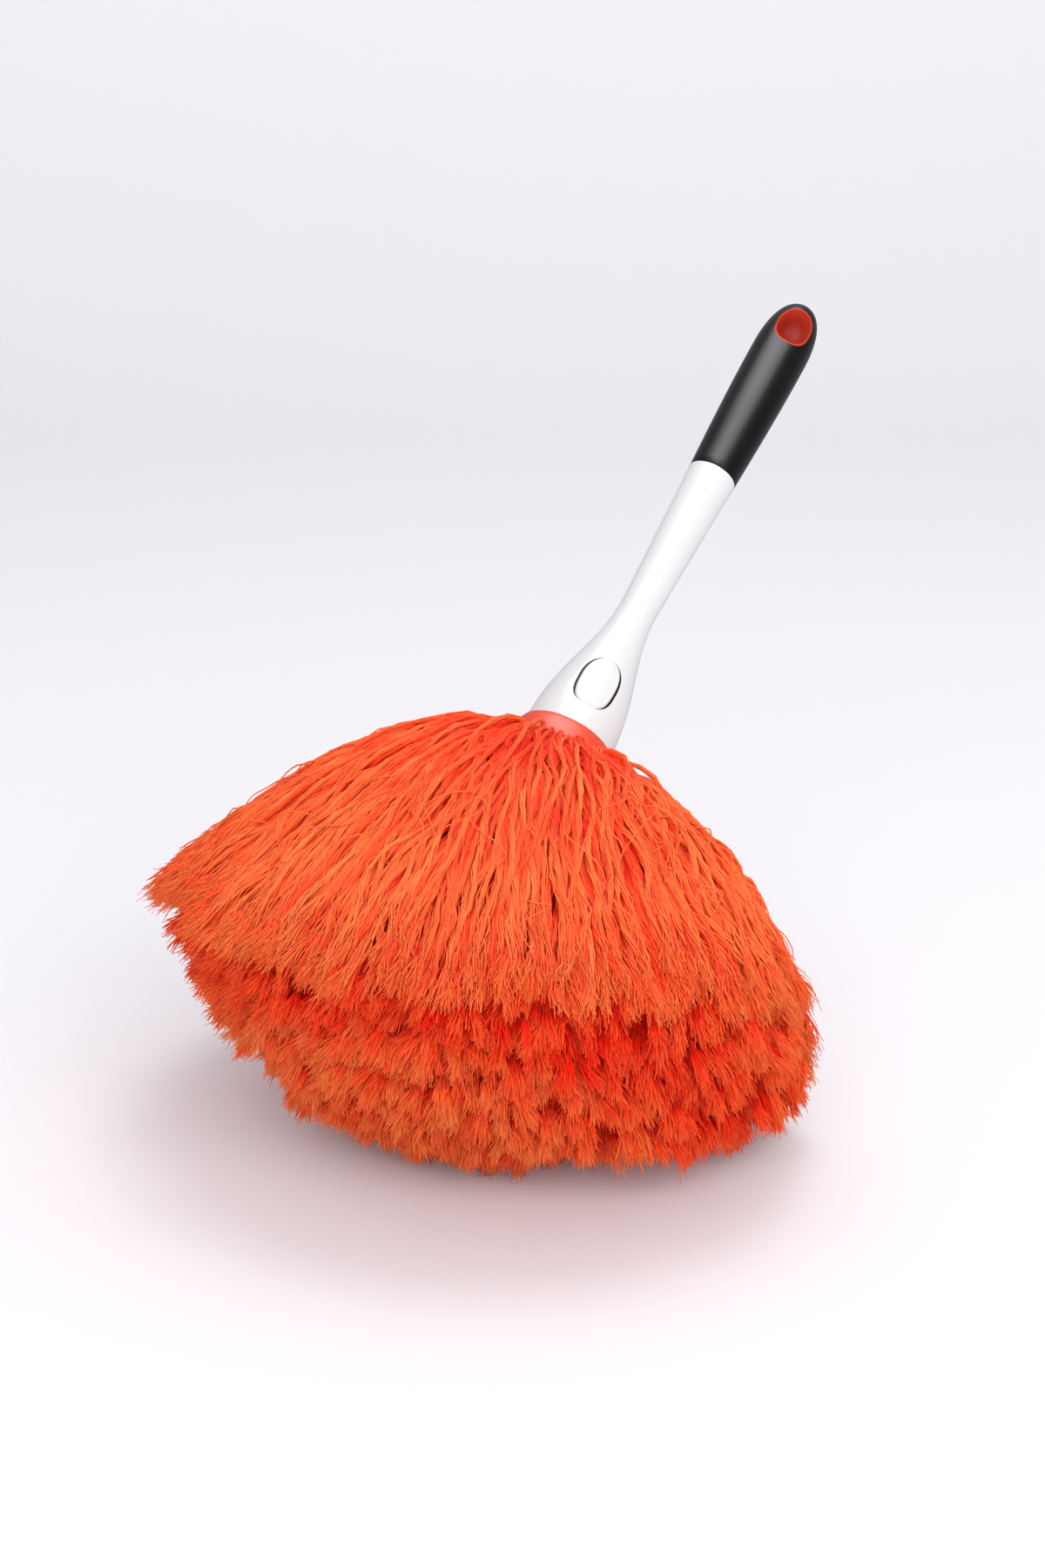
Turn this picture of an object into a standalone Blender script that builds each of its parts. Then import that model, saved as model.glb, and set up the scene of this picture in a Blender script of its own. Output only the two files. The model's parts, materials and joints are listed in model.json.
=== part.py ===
# Microfiber duster: a yarn head that clicks into a turned handle and is freed by a push button.
# Metres, +Z up. The head rests on the floor and the handle leans back and to the right.
# Every piece is drawn along the handle's own axis: local Z runs from the head to the grip's tip,
# local X points out of the button, and local Z = 0 is the white handle's rim.

import math
import random

import bmesh
import bpy
from mathutils import Matrix, Vector

# Pose of the handle on the floor
RIM_HEIGHT = 0.180
LEAN_PITCH = math.radians(37.7)
LEAN_AZIMUTH = math.radians(34.0)
ROLL = math.radians(34.8)

# Handle
RIM_RADIUS = 0.0218
NECK_RADIUS = 0.0092
BELL_LENGTH = 0.076
BELL_CURVE = 1.1
NECK_CURVE = 1.2
SHELL_WALL = 0.0022
HANDLE_BORE = 0.0066
GRIP_START = 0.160
GRIP_START_RADIUS = 0.0122
GRIP_RADIUS = 0.0142
GRIP_FULL = 0.238
HANDLE_LENGTH = 0.270
TIP_CURVE = 2.4
SPIGOT_RADIUS = 0.0094
SPIGOT_CHAMFER = 0.0024
SPIGOT_END = 0.235

# Hang recess near the grip's tip
HANG_CENTRE = 0.2546
HANG_HALF_LENGTH = 0.0098
HANG_HALF_WIDTH = 0.0082
HANG_FLOOR = 0.0030
HANG_LINER_WALL = 0.0012

# Outline shared by the button and the hang recess: 2 would be an ellipse, more is squarer
LOWER_SQUARENESS = 3.2
UPPER_SQUARENESS = 2.3

# Release button
BUTTON_CENTRE = 0.0245
BUTTON_HALF_LENGTH = 0.0143
BUTTON_HALF_WIDTH = 0.0100
BUTTON_GAP = 0.0006
BUTTON_FLANGE = 0.0015
BUTTON_LIP = 0.0010
BUTTON_TRAVEL = 0.0025
WEDGE_HALF_HEIGHT = 0.0025

# Socket insert and plug
PLUG_RADIUS = 0.0079
PLUG_LENGTH = 0.0300
PLUG_NOSE = 0.0020
GROOVE_LEVEL = 0.0180
GROOVE_DEPTH = 0.0015
SOCKET_WALL = 0.0018
SOCKET_LENGTH = 0.0330
INSERT_START = 0.0012
INSERT_PLATE = 0.0030
BOSS_OFFSET = 0.0165
BOSS_RADIUS = 0.0032
BOSS_END = 0.0160
SCREW_RADIUS = 0.0012
SCREW_TIP_RADIUS = 0.0005
SCREW_HEAD_RADIUS = 0.0026
SCREW_FACE_RADIUS = 0.0021
SCREW_HEAD_DEPTH = 0.0016
SCREW_LENGTH = 0.0100

# Spring clip and button spring
CLIP_WIRE_RADIUS = 0.0008
CLIP_BEND_CENTRE = -0.0045
CLIP_LEG_LENGTH = 0.0060
CLIP_TIP_SPREAD = 0.0026
CLIP_SLOT_START = 0.0046
SPRING_LEVEL = 0.0285
SPRING_RADIUS = 0.0023
SPRING_WIRE_RADIUS = 0.0003
SPRING_TURNS = 4
SPRING_TURN_STEPS = 10
SPRING_POCKET = 0.0018
SPRING_PEG_RADIUS = 0.0013
SPRING_PEG_LENGTH = 0.0018

# Head
COLLAR_TOP_RADIUS = 0.0222
COLLAR_EDGE_RADIUS = 0.0257
COLLAR_DEPTH = 0.0113
COLLAR_CURVE = 1.5
COLLAR_WALL = 0.0022
PLUG_FLANGE_RADIUS = 0.0140
PLUG_FLANGE = 0.0022
PLUG_SPIGOT_END = -0.0300
CORE_RADIUS = 0.0130
CORE_WALL = 0.0022
CORE_PIN_RADIUS = 0.0012
WASHER_RADIUS = 0.0170
WASHER_THICKNESS = 0.0020
TAPE_THICKNESS = 0.0022
TIER_START = -0.0142
TIER_HEIGHT = 0.0150
TIER_COUNT = 5
TIER_ROWS = 3
END_DOME_DEPTH = 0.0165
END_DOME_SWEEP = math.radians(78)
END_HOLE_RADIUS = 0.0062
END_CAP_FACE_RADIUS = 0.0050
END_SHELF_DEPTH = 0.0041
END_ROWS = 4
END_SCREW_LENGTH = 0.0140

# Yarn strands
STRANDS_PER_ROW = 20
STRAND_ROOT_RADIUS = 0.0017
STRAND_TIP_RADIUS = 0.0044
STRAND_SHARE_OF_ROOM = 0.38
STRAND_SHARES = (0.14, 0.5, 1.0)
STRAND_CELL_CENTRE = 1 / 3
STRAND_TRIM = 0.03
ROW_STAGGER = 0.618
FAN_WIDEST = math.radians(84)
FAN_NARROWEST = math.radians(7)
FOLD_ABOVE = math.radians(-15)
FOLD = 0.42
FOLD_LENGTH = 0.020
DROOP = math.radians(40)
DROOP_CURVE = 1.4
DROOP_LENGTH = 0.155
PATH_STEP = 0.0005
HEAD_RADIUS = 0.179
HEAD_CENTRE_DEPTH = 0.030
FLOOR_SLOPE = 0.4

# Clearances
GAP = 0.0003
OVERLAP = 0.0010
SEGMENTS = 32

# Positions that follow from the sizes above
TAPE_INNER_RADIUS = CORE_RADIUS + GAP
TAPE_RADIUS = TAPE_INNER_RADIUS + TAPE_THICKNESS
GROOVE_RADIUS = PLUG_RADIUS - GROOVE_DEPTH
SOCKET_RADIUS = PLUG_RADIUS + GAP
SOCKET_OUTER = SOCKET_RADIUS + SOCKET_WALL
INSERT_TOP = INSERT_START + INSERT_PLATE
CLIP_LEG_OFFSET = GROOVE_RADIUS + GAP + CLIP_WIRE_RADIUS
WEDGE_TIP = SOCKET_OUTER + GAP + BUTTON_TRAVEL
CLIP_TIP_REACH = WEDGE_TIP + GAP
BUTTON_DEPTH = SHELL_WALL + GAP + BUTTON_FLANGE
PLUG_FLANGE_TOP = -COLLAR_WALL - 2 * GAP
CORE_START = PLUG_FLANGE_TOP - PLUG_FLANGE - GAP
TIERS_END = TIER_START - TIER_COUNT * (TIER_HEIGHT + GAP)
CORE_END = TIERS_END - END_SHELF_DEPTH
PIN_LEVEL = (CORE_START + TIER_START + WASHER_THICKNESS) / 2
PLUG_SPIGOT_RADIUS = CORE_RADIUS - CORE_WALL - GAP
ROW_COUNT = TIER_COUNT * TIER_ROWS + END_ROWS


# Collections and materials

def clear_scene():
    for item in list(bpy.data.objects):
        bpy.data.objects.remove(item, do_unlink=True)


def new_collection(name):
    collection = bpy.data.collections.new(name)
    bpy.context.scene.collection.children.link(collection)
    return collection


def plastic(name, color, roughness, metallic=0.0):
    material = bpy.data.materials.new(name)
    material.use_nodes = True
    shader = material.node_tree.nodes["Principled BSDF"]
    shader.inputs["Base Color"].default_value = (*color, 1.0)
    shader.inputs["Roughness"].default_value = roughness
    shader.inputs["Metallic"].default_value = metallic
    return material


clear_scene()
parts = new_collection("microfiber_duster")
cutters = new_collection("cutters")

white_plastic = (0.85, 0.85, 0.86)
orange_plastic = (0.83, 0.11, 0.05)
steel = (0.55, 0.56, 0.58)


# Frames

def empty(name, parent=None):
    frame = bpy.data.objects.new(name, None)
    parts.objects.link(frame)
    frame.parent = parent
    return frame


def handle_frame():
    axis = Vector((
        math.cos(LEAN_PITCH) * math.sin(LEAN_AZIMUTH),
        math.cos(LEAN_PITCH) * math.cos(LEAN_AZIMUTH),
        math.sin(LEAN_PITCH),
    ))
    level = axis.cross(Vector((0, 0, 1))).normalized()
    upward = level.cross(axis)
    out = upward * math.cos(ROLL) + level * math.sin(ROLL)
    across = axis.cross(out)
    frame = Matrix((out, across, axis)).transposed().to_4x4()
    frame.translation = Vector((0, 0, RIM_HEIGHT))
    return frame


base = empty("duster_base")
to_world = handle_frame()
to_local = to_world.inverted()
handle_axis = empty("handle_axis", base)
handle_axis.matrix_local = to_world
head_axis = empty("head_axis", base)
head_axis.matrix_local = to_world
button_axis = empty("button_axis", handle_axis)
button_axis.location = (0, 0, BUTTON_CENTRE)


# Mesh helpers

def add_object(name, mesh, parent, material=None):
    item = bpy.data.objects.new(name, mesh)
    item.parent = parent
    if material is None:
        item.hide_render = True
        item.display_type = "WIRE"
        cutters.objects.link(item)
    else:
        mesh.materials.append(material)
        parts.objects.link(item)
    return item


def finish_mesh(name, bm, smooth=True):
    mesh = bpy.data.meshes.new(name)
    bm.to_mesh(mesh)
    bm.free()
    if smooth:
        mesh.shade_smooth()
        mesh.set_sharp_from_angle(angle=math.radians(35))
    return mesh


def turned(name, outline, parent, material=None, closed=True, segments=None):
    # The outline holds (radius, height) points that run down the outer side and up the inner one.
    steps = segments or SEGMENTS
    bm = bmesh.new()
    points = [bm.verts.new((radius, 0, height)) for radius, height in outline]
    for first, second in zip(points, points[1:]):
        bm.edges.new((first, second))
    if closed:
        bm.edges.new((points[-1], points[0]))
    item = add_object(name, finish_mesh(name, bm, smooth=False), parent, material)
    screw = item.modifiers.new("turn", "SCREW")
    screw.axis = "Z"
    screw.steps = steps
    screw.render_steps = steps
    screw.use_merge_vertices = True
    screw.merge_threshold = 0.00002
    screw.use_smooth_shade = True
    return item


def prism(name, outline, low, high, parent, material=None):
    # The outline holds (y, z) points seen from the button's side, and the prism runs along X.
    bm = bmesh.new()
    face = bm.faces.new([bm.verts.new((low, y, z)) for y, z in outline])
    grown = bmesh.ops.extrude_face_region(bm, geom=[face])["geom"]
    moved = [part for part in grown if isinstance(part, bmesh.types.BMVert)]
    bmesh.ops.translate(bm, vec=(high - low, 0, 0), verts=moved)
    bmesh.ops.recalc_face_normals(bm, faces=bm.faces[:])
    return add_object(name, finish_mesh(name, bm, smooth=False), parent, material)


def block(name, low, high, parent):
    bm = bmesh.new()
    bmesh.ops.create_cube(bm, size=1.0)
    size = Vector(high) - Vector(low)
    middle = (Vector(high) + Vector(low)) / 2
    bmesh.ops.scale(bm, vec=size, verts=bm.verts[:])
    bmesh.ops.translate(bm, vec=middle, verts=bm.verts[:])
    return add_object(name, finish_mesh(name, bm, smooth=False), parent)


def rod(name, radius, start, end, parent, segments=16, tip_radius=None):
    # A cylinder, or a cone where tip_radius is given, between two points.
    start = Vector(start)
    end = Vector(end)
    run = end - start
    bm = bmesh.new()
    bmesh.ops.create_cone(
        bm, cap_ends=True, segments=segments, depth=run.length,
        radius1=radius, radius2=radius if tip_radius is None else tip_radius,
    )
    turn = Vector((0, 0, 1)).rotation_difference(run).to_matrix()
    bmesh.ops.rotate(bm, cent=(0, 0, 0), matrix=turn, verts=bm.verts[:])
    bmesh.ops.translate(bm, vec=(start + end) / 2, verts=bm.verts[:])
    return add_object(name, finish_mesh(name, bm, smooth=False), parent)


def boolean(item, other, operation):
    modifier = item.modifiers.new(operation.lower() + " " + other.name, "BOOLEAN")
    modifier.operation = operation
    modifier.solver = "EXACT"
    modifier.object = other


def cut(item, other):
    boolean(item, other, "DIFFERENCE")


def join(item, other):
    boolean(item, other, "UNION")


def keep_inside(item, other):
    boolean(item, other, "INTERSECT")


def rounded_outline(half_width, half_length, centre, count=28):
    # A soft square that is squarer at its lower end, as seen from the button's side.
    points = []
    for step in range(count):
        turn = 2 * math.pi * step / count
        across = math.cos(turn)
        along = math.sin(turn)
        power = 2 / (LOWER_SQUARENESS if along < 0 else UPPER_SQUARENESS)
        y = half_width * math.copysign(abs(across) ** power, across)
        z = half_length * math.copysign(abs(along) ** power, along)
        points.append((y, centre + z))
    return points


# Handle outlines

def spread(low, high, count):
    return [low + (high - low) * step / count for step in range(count + 1)]


def bell_radius(z):
    if z >= BELL_LENGTH:
        rise = (z - BELL_LENGTH) / (GRIP_START - BELL_LENGTH)
        return NECK_RADIUS + (GRIP_START_RADIUS - NECK_RADIUS) * rise ** NECK_CURVE
    fall = max(z, 0) / BELL_LENGTH
    swing = 0.5 + 0.5 * math.cos(math.pi * fall ** BELL_CURVE)
    return NECK_RADIUS + (RIM_RADIUS - NECK_RADIUS) * swing


def grip_radius(z):
    if z <= GRIP_FULL:
        rise = (z - GRIP_START) / (GRIP_FULL - GRIP_START)
        return GRIP_START_RADIUS + (GRIP_RADIUS - GRIP_START_RADIUS) * math.sin(rise * math.pi / 2)
    reach = min((z - GRIP_FULL) / (HANDLE_LENGTH - GRIP_FULL), 1)
    return GRIP_RADIUS * (1 - reach ** TIP_CURVE) ** (1 / TIP_CURVE)


def bell_outer(z):
    return (bell_radius(z), z)


def bell_offset(z, depth):
    return (bell_radius(z) - depth, z)


# Handle pieces

def make_handle_shell():
    heights = spread(BELL_LENGTH, 0, 12)
    neck = spread(GRIP_START, BELL_LENGTH, 4)[:-1]
    outer = [(0.0, SPIGOT_END), (SPIGOT_RADIUS - SPIGOT_CHAMFER, SPIGOT_END)]
    outer += [(SPIGOT_RADIUS, SPIGOT_END - SPIGOT_CHAMFER), (SPIGOT_RADIUS, GRIP_START)]
    outer += [bell_outer(z) for z in neck + heights]
    inner = []
    for z in reversed(heights[::2]):
        radius, level = bell_offset(z, SHELL_WALL)
        if radius > HANDLE_BORE:
            inner.append((radius, level))
    inner += [(HANDLE_BORE, inner[-1][1] + SHELL_WALL), (HANDLE_BORE, SPIGOT_END - SHELL_WALL * 2)]
    inner += [(0.0, SPIGOT_END - SHELL_WALL)]
    white = plastic("gloss white plastic", white_plastic, 0.16)
    shell = turned("handle_shell", outer + inner, handle_axis, white, closed=False)
    for side in (1, -1):
        place = (0, side * BOSS_OFFSET)
        boss = rod("boss", BOSS_RADIUS, (*place, INSERT_TOP + GAP), (*place, BOSS_END), handle_axis)
        join(shell, boss)
    for side in (1, -1):
        place = (0, side * BOSS_OFFSET)
        depth = BOSS_END - OVERLAP
        cut(shell, rod("boss hole", SCREW_RADIUS + GAP, (*place, 0), (*place, depth), handle_axis))
    window = rounded_outline(BUTTON_HALF_WIDTH, BUTTON_HALF_LENGTH, BUTTON_CENTRE)
    cut(shell, prism("button window", window, NECK_RADIUS, 2 * RIM_RADIUS, handle_axis))
    return shell


def grip_outline():
    # From the rounded tip down the outside to the grip's lower edge.
    outline = [(0.0, HANDLE_LENGTH)]
    for step in range(1, 9):
        rise = math.cos(math.pi / 2 * step / 8)
        z = GRIP_FULL + rise * (HANDLE_LENGTH - GRIP_FULL)
        outline.append((grip_radius(z), z))
    return outline + [(grip_radius(z), z) for z in spread(GRIP_FULL, GRIP_START + GAP, 5)[1:]]


def make_soft_grip():
    black = plastic("soft black elastomer", (0.018, 0.018, 0.02), 0.42)
    bore = SPIGOT_RADIUS + GAP
    inner = [(bore, GRIP_START + GAP), (bore, SPIGOT_END - SPIGOT_CHAMFER + GAP)]
    inner += [(bore - SPIGOT_CHAMFER, SPIGOT_END + GAP), (0.0, SPIGOT_END + GAP)]
    grip = turned("soft_grip", grip_outline() + inner, handle_axis, black, closed=False)
    mouth = rounded_outline(HANG_HALF_WIDTH, HANG_HALF_LENGTH, HANG_CENTRE)
    cut(grip, prism("hang pocket", mouth, HANG_FLOOR - GAP, 2 * GRIP_RADIUS, handle_axis))
    return grip


def make_hang_liner():
    red = plastic("orange hang liner", orange_plastic, 0.35)
    outline = rounded_outline(HANG_HALF_WIDTH - GAP, HANG_HALF_LENGTH - GAP, HANG_CENTRE)
    liner = prism("hang_liner", outline, HANG_FLOOR, 2 * GRIP_RADIUS, handle_axis, red)
    skin = grip_outline() + [(0.0, GRIP_START + GAP)]
    keep_inside(liner, turned("grip skin", skin, handle_axis, closed=False))
    bm = bmesh.new()
    bmesh.ops.create_uvsphere(bm, u_segments=24, v_segments=14, radius=1.0)
    dish_depth = GRIP_RADIUS - HANG_FLOOR - HANG_LINER_WALL
    size = (
        dish_depth,
        HANG_HALF_WIDTH - GAP - HANG_LINER_WALL,
        HANG_HALF_LENGTH - GAP - HANG_LINER_WALL,
    )
    bmesh.ops.scale(bm, vec=size, verts=bm.verts[:])
    bmesh.ops.translate(bm, vec=(GRIP_RADIUS, 0, HANG_CENTRE), verts=bm.verts[:])
    cut(liner, add_object("hang dish", finish_mesh("hang dish", bm), handle_axis))
    return liner


def make_socket_insert():
    grey = plastic("grey moulded socket", (0.45, 0.46, 0.48), 0.45)
    plate_radius = bell_radius(INSERT_TOP) - SHELL_WALL - GAP
    outline = [
        (SOCKET_OUTER, SOCKET_LENGTH),
        (SOCKET_OUTER, INSERT_TOP),
        (plate_radius, INSERT_TOP),
        (plate_radius, INSERT_START),
        (SOCKET_RADIUS, INSERT_START),
        (SOCKET_RADIUS, SOCKET_LENGTH),
    ]
    insert = turned("socket_insert", outline, handle_axis, grey)
    slot = CLIP_WIRE_RADIUS + GAP
    reach = SOCKET_OUTER + 4 * OVERLAP
    for side in (1, -1):
        ends = sorted((side * CLIP_SLOT_START, side * reach))
        low = (-reach, ends[0], GROOVE_LEVEL - slot)
        high = (reach, ends[1], GROOVE_LEVEL + slot)
        cut(insert, block("clip slot", low, high, handle_axis))
    for side in (1, -1):
        place = (0, side * BOSS_OFFSET)
        through = 2 * INSERT_TOP
        cut(insert, rod("screw hole", SCREW_RADIUS + GAP, (*place, 0), (*place, through), handle_axis))
        seat = INSERT_START + SCREW_HEAD_DEPTH
        cut(insert, rod("screw seat", SCREW_HEAD_RADIUS + GAP, (*place, 0), (*place, seat), handle_axis))
    root = (SOCKET_OUTER - SOCKET_WALL / 2, 0, SPRING_LEVEL)
    tip = (SOCKET_OUTER + SPRING_PEG_LENGTH, 0, SPRING_LEVEL)
    join(insert, rod("spring peg", SPRING_PEG_RADIUS, root, tip, handle_axis, segments=12))
    return insert


def make_insert_screws():
    metal = plastic("zinc plated steel", steel, 0.3, metallic=1.0)
    head_top = INSERT_START + SCREW_HEAD_DEPTH - GAP
    outline = [
        (0.0, head_top + SCREW_LENGTH),
        (SCREW_TIP_RADIUS, head_top + SCREW_LENGTH),
        (SCREW_RADIUS, head_top + SCREW_LENGTH - SCREW_RADIUS),
        (SCREW_RADIUS, head_top),
        (SCREW_HEAD_RADIUS, head_top),
        (SCREW_FACE_RADIUS, INSERT_START),
        (0.0, INSERT_START),
    ]
    for number, side in ((1, 1), (2, -1)):
        name = f"insert_screw_{number}"
        screw = turned(name, outline, handle_axis, metal, closed=False, segments=16)
        screw.location = (0, side * BOSS_OFFSET, 0)


def make_release_button():
    white = plastic("gloss white button", white_plastic, 0.18)
    low = BUTTON_CENTRE - BUTTON_HALF_LENGTH - 3 * OVERLAP
    high = BUTTON_CENTRE + BUTTON_HALF_LENGTH + 3 * OVERLAP
    heights = spread(high, max(low, 0.0), 8)
    skin = [bell_outer(z) for z in heights]
    skin += [bell_offset(z, BUTTON_DEPTH) for z in reversed(heights)]
    button = turned("release_button", skin, button_axis, white)
    button.location = (0, 0, -BUTTON_CENTRE)
    half_width = BUTTON_HALF_WIDTH - BUTTON_GAP
    half_length = BUTTON_HALF_LENGTH - BUTTON_GAP
    face = rounded_outline(half_width, half_length, BUTTON_CENTRE)
    keep_inside(button, prism("button face", face, NECK_RADIUS, 2 * RIM_RADIUS, handle_axis))

    lip = [bell_offset(z, SHELL_WALL + GAP) for z in heights]
    lip += [bell_offset(z, BUTTON_DEPTH - GAP) for z in reversed(heights)]
    flange = turned("button flange", lip, handle_axis)
    half_width = BUTTON_HALF_WIDTH + BUTTON_LIP
    half_length = BUTTON_HALF_LENGTH + BUTTON_LIP
    rim = rounded_outline(half_width, half_length, BUTTON_CENTRE)
    keep_inside(flange, prism("button rim", rim, NECK_RADIUS, 2 * RIM_RADIUS, handle_axis))
    join(button, flange)

    under = bell_radius(SPRING_LEVEL) - BUTTON_DEPTH
    pocket_radius = SPRING_RADIUS + SPRING_WIRE_RADIUS + GAP
    start = (under - OVERLAP, 0, SPRING_LEVEL)
    end = (under + SPRING_POCKET, 0, SPRING_LEVEL)
    cut(button, rod("spring pocket", pocket_radius, start, end, handle_axis))

    wedge_root = bell_radius(GROOVE_LEVEL) - SHELL_WALL - GAP
    run = wedge_root - WEDGE_TIP
    tip_half = CLIP_TIP_SPREAD - CLIP_WIRE_RADIUS - 3 * GAP
    bm = bmesh.new()
    corners = [(WEDGE_TIP, -tip_half), (wedge_root, -tip_half - run)]
    corners += [(wedge_root, tip_half + run), (WEDGE_TIP, tip_half)]
    base_height = GROOVE_LEVEL - WEDGE_HALF_HEIGHT
    face = bm.faces.new([bm.verts.new((x, y, base_height)) for x, y in corners])
    grown = bmesh.ops.extrude_face_region(bm, geom=[face])["geom"]
    moved = [part for part in grown if isinstance(part, bmesh.types.BMVert)]
    bmesh.ops.translate(bm, vec=(0, 0, 2 * WEDGE_HALF_HEIGHT), verts=moved)
    bmesh.ops.recalc_face_normals(bm, faces=bm.faces[:])
    join(button, add_object("clip wedge", finish_mesh("clip wedge", bm, smooth=False), handle_axis))
    return button


def wire(name, points, radius, parent, material, sides=1):
    curve = bpy.data.curves.new(name, "CURVE")
    curve.dimensions = "3D"
    curve.bevel_depth = radius
    curve.bevel_resolution = sides
    curve.use_fill_caps = True
    line = curve.splines.new("POLY")
    line.points.add(len(points) - 1)
    for target, point in zip(line.points, points):
        target.co = (*point, 1.0)
    curve.materials.append(material)
    item = bpy.data.objects.new(name, curve)
    item.parent = parent
    parts.objects.link(item)
    return item


def make_latch_clip():
    metal = plastic("spring steel wire", steel, 0.25, metallic=1.0)
    half = [(CLIP_TIP_REACH, CLIP_TIP_SPREAD), (CLIP_LEG_LENGTH, CLIP_LEG_OFFSET)]
    bend = []
    for step in range(13):
        turn = math.pi / 2 + math.pi * step / 12
        x = CLIP_BEND_CENTRE + CLIP_LEG_OFFSET * math.cos(turn)
        bend.append((x, CLIP_LEG_OFFSET * math.sin(turn)))
    path = half + bend + [(x, -y) for x, y in reversed(half)]
    points = [(x, y, GROOVE_LEVEL) for x, y in path]
    return wire("latch_clip", points, CLIP_WIRE_RADIUS, handle_axis, metal, sides=2)


def make_button_spring():
    metal = plastic("spring steel coil", steel, 0.25, metallic=1.0)
    start = SOCKET_OUTER + GAP + SPRING_WIRE_RADIUS
    end = bell_radius(SPRING_LEVEL) - BUTTON_DEPTH + SPRING_POCKET - GAP - SPRING_WIRE_RADIUS
    points = []
    count = SPRING_TURN_STEPS * SPRING_TURNS
    for step in range(count + 1):
        turn = 2 * math.pi * step / SPRING_TURN_STEPS
        x = start + (end - start) * step / count
        y = SPRING_RADIUS * math.cos(turn)
        points.append((x, y, SPRING_LEVEL + SPRING_RADIUS * math.sin(turn)))
    return wire("button_spring", points, SPRING_WIRE_RADIUS, handle_axis, metal)


# Head pieces

def make_head_collar():
    orange = plastic("satin orange plastic", orange_plastic, 0.38)
    rise = COLLAR_EDGE_RADIUS - COLLAR_TOP_RADIUS
    hole = PLUG_RADIUS + GAP
    top = -GAP
    flare = []
    for step in range(6):
        turn = math.pi / 2 * step / 5
        fall = 1 - math.cos(turn) ** COLLAR_CURVE
        flare.append((COLLAR_TOP_RADIUS + rise * math.sin(turn), top - COLLAR_DEPTH * fall))
    inside = []
    for step in range(4):
        turn = math.pi / 2 * (1 - step / 3)
        fall = 1 - math.cos(turn) ** COLLAR_CURVE
        radius = COLLAR_TOP_RADIUS - 2 * COLLAR_WALL + (rise + COLLAR_WALL) * math.sin(turn)
        inside.append((radius, top - COLLAR_WALL - (COLLAR_DEPTH - COLLAR_WALL) * fall))
    outline = [(hole, top)] + flare + inside + [(hole, top - COLLAR_WALL)]
    return turned("head_collar", outline, head_axis, orange)


def make_head_plug():
    orange = plastic("moulded orange plug", orange_plastic, 0.4)
    half_groove = CLIP_WIRE_RADIUS + GAP
    outline = [
        (0.0, PLUG_LENGTH),
        (PLUG_RADIUS - 2 * PLUG_NOSE, PLUG_LENGTH),
        (PLUG_RADIUS - PLUG_NOSE / 2, PLUG_LENGTH - PLUG_NOSE),
        (PLUG_RADIUS, PLUG_LENGTH - 3 * PLUG_NOSE),
        (PLUG_RADIUS, GROOVE_LEVEL + half_groove),
        (GROOVE_RADIUS, GROOVE_LEVEL + half_groove),
        (GROOVE_RADIUS, GROOVE_LEVEL - half_groove),
        (PLUG_RADIUS, GROOVE_LEVEL - half_groove),
        (PLUG_RADIUS, PLUG_FLANGE_TOP),
        (PLUG_FLANGE_RADIUS, PLUG_FLANGE_TOP),
        (PLUG_FLANGE_RADIUS, PLUG_FLANGE_TOP - PLUG_FLANGE),
        (PLUG_SPIGOT_RADIUS, PLUG_FLANGE_TOP - PLUG_FLANGE),
        (PLUG_SPIGOT_RADIUS, PLUG_SPIGOT_END),
        (0.0, PLUG_SPIGOT_END),
    ]
    plug = turned("head_plug", outline, head_axis, orange, closed=False, segments=24)
    cut(plug, pin_hole("plug pin hole"))
    return plug


def pin_hole(name):
    reach = CORE_RADIUS * 2
    ends = ((0, -reach, PIN_LEVEL), (0, reach, PIN_LEVEL))
    return rod(name, CORE_PIN_RADIUS + GAP, *ends, head_axis)


def make_core_tube():
    grey = plastic("grey core tube", (0.35, 0.36, 0.38), 0.5)
    inner = CORE_RADIUS - CORE_WALL
    end_hole = SCREW_RADIUS + GAP
    outline = [
        (CORE_RADIUS, CORE_START),
        (CORE_RADIUS, CORE_END),
        (end_hole, CORE_END),
        (end_hole, CORE_END + 2 * CORE_WALL),
        (inner, CORE_END + 2 * CORE_WALL),
        (inner, CORE_START),
    ]
    tube = turned("core_tube", outline, head_axis, grey)
    cut(tube, pin_hole("tube pin hole"))
    return tube


def make_plug_pin():
    metal = plastic("steel cross pin", steel, 0.3, metallic=1.0)
    outline = [
        (0.0, CORE_RADIUS),
        (CORE_PIN_RADIUS, CORE_RADIUS),
        (CORE_PIN_RADIUS, -CORE_RADIUS),
        (0.0, -CORE_RADIUS),
    ]
    pin = turned("plug_pin", outline, head_axis, metal, closed=False, segments=16)
    pin.location = (0, 0, PIN_LEVEL)
    pin.rotation_euler = (math.pi / 2, 0, 0)
    return pin


def make_top_washer():
    grey = plastic("grey washer", (0.35, 0.36, 0.38), 0.5)
    low = TIER_START + GAP
    outline = [
        (WASHER_RADIUS, low + WASHER_THICKNESS),
        (WASHER_RADIUS, low),
        (TAPE_INNER_RADIUS, low),
        (TAPE_INNER_RADIUS, low + WASHER_THICKNESS),
    ]
    return turned("top_washer", outline, head_axis, grey)


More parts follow.
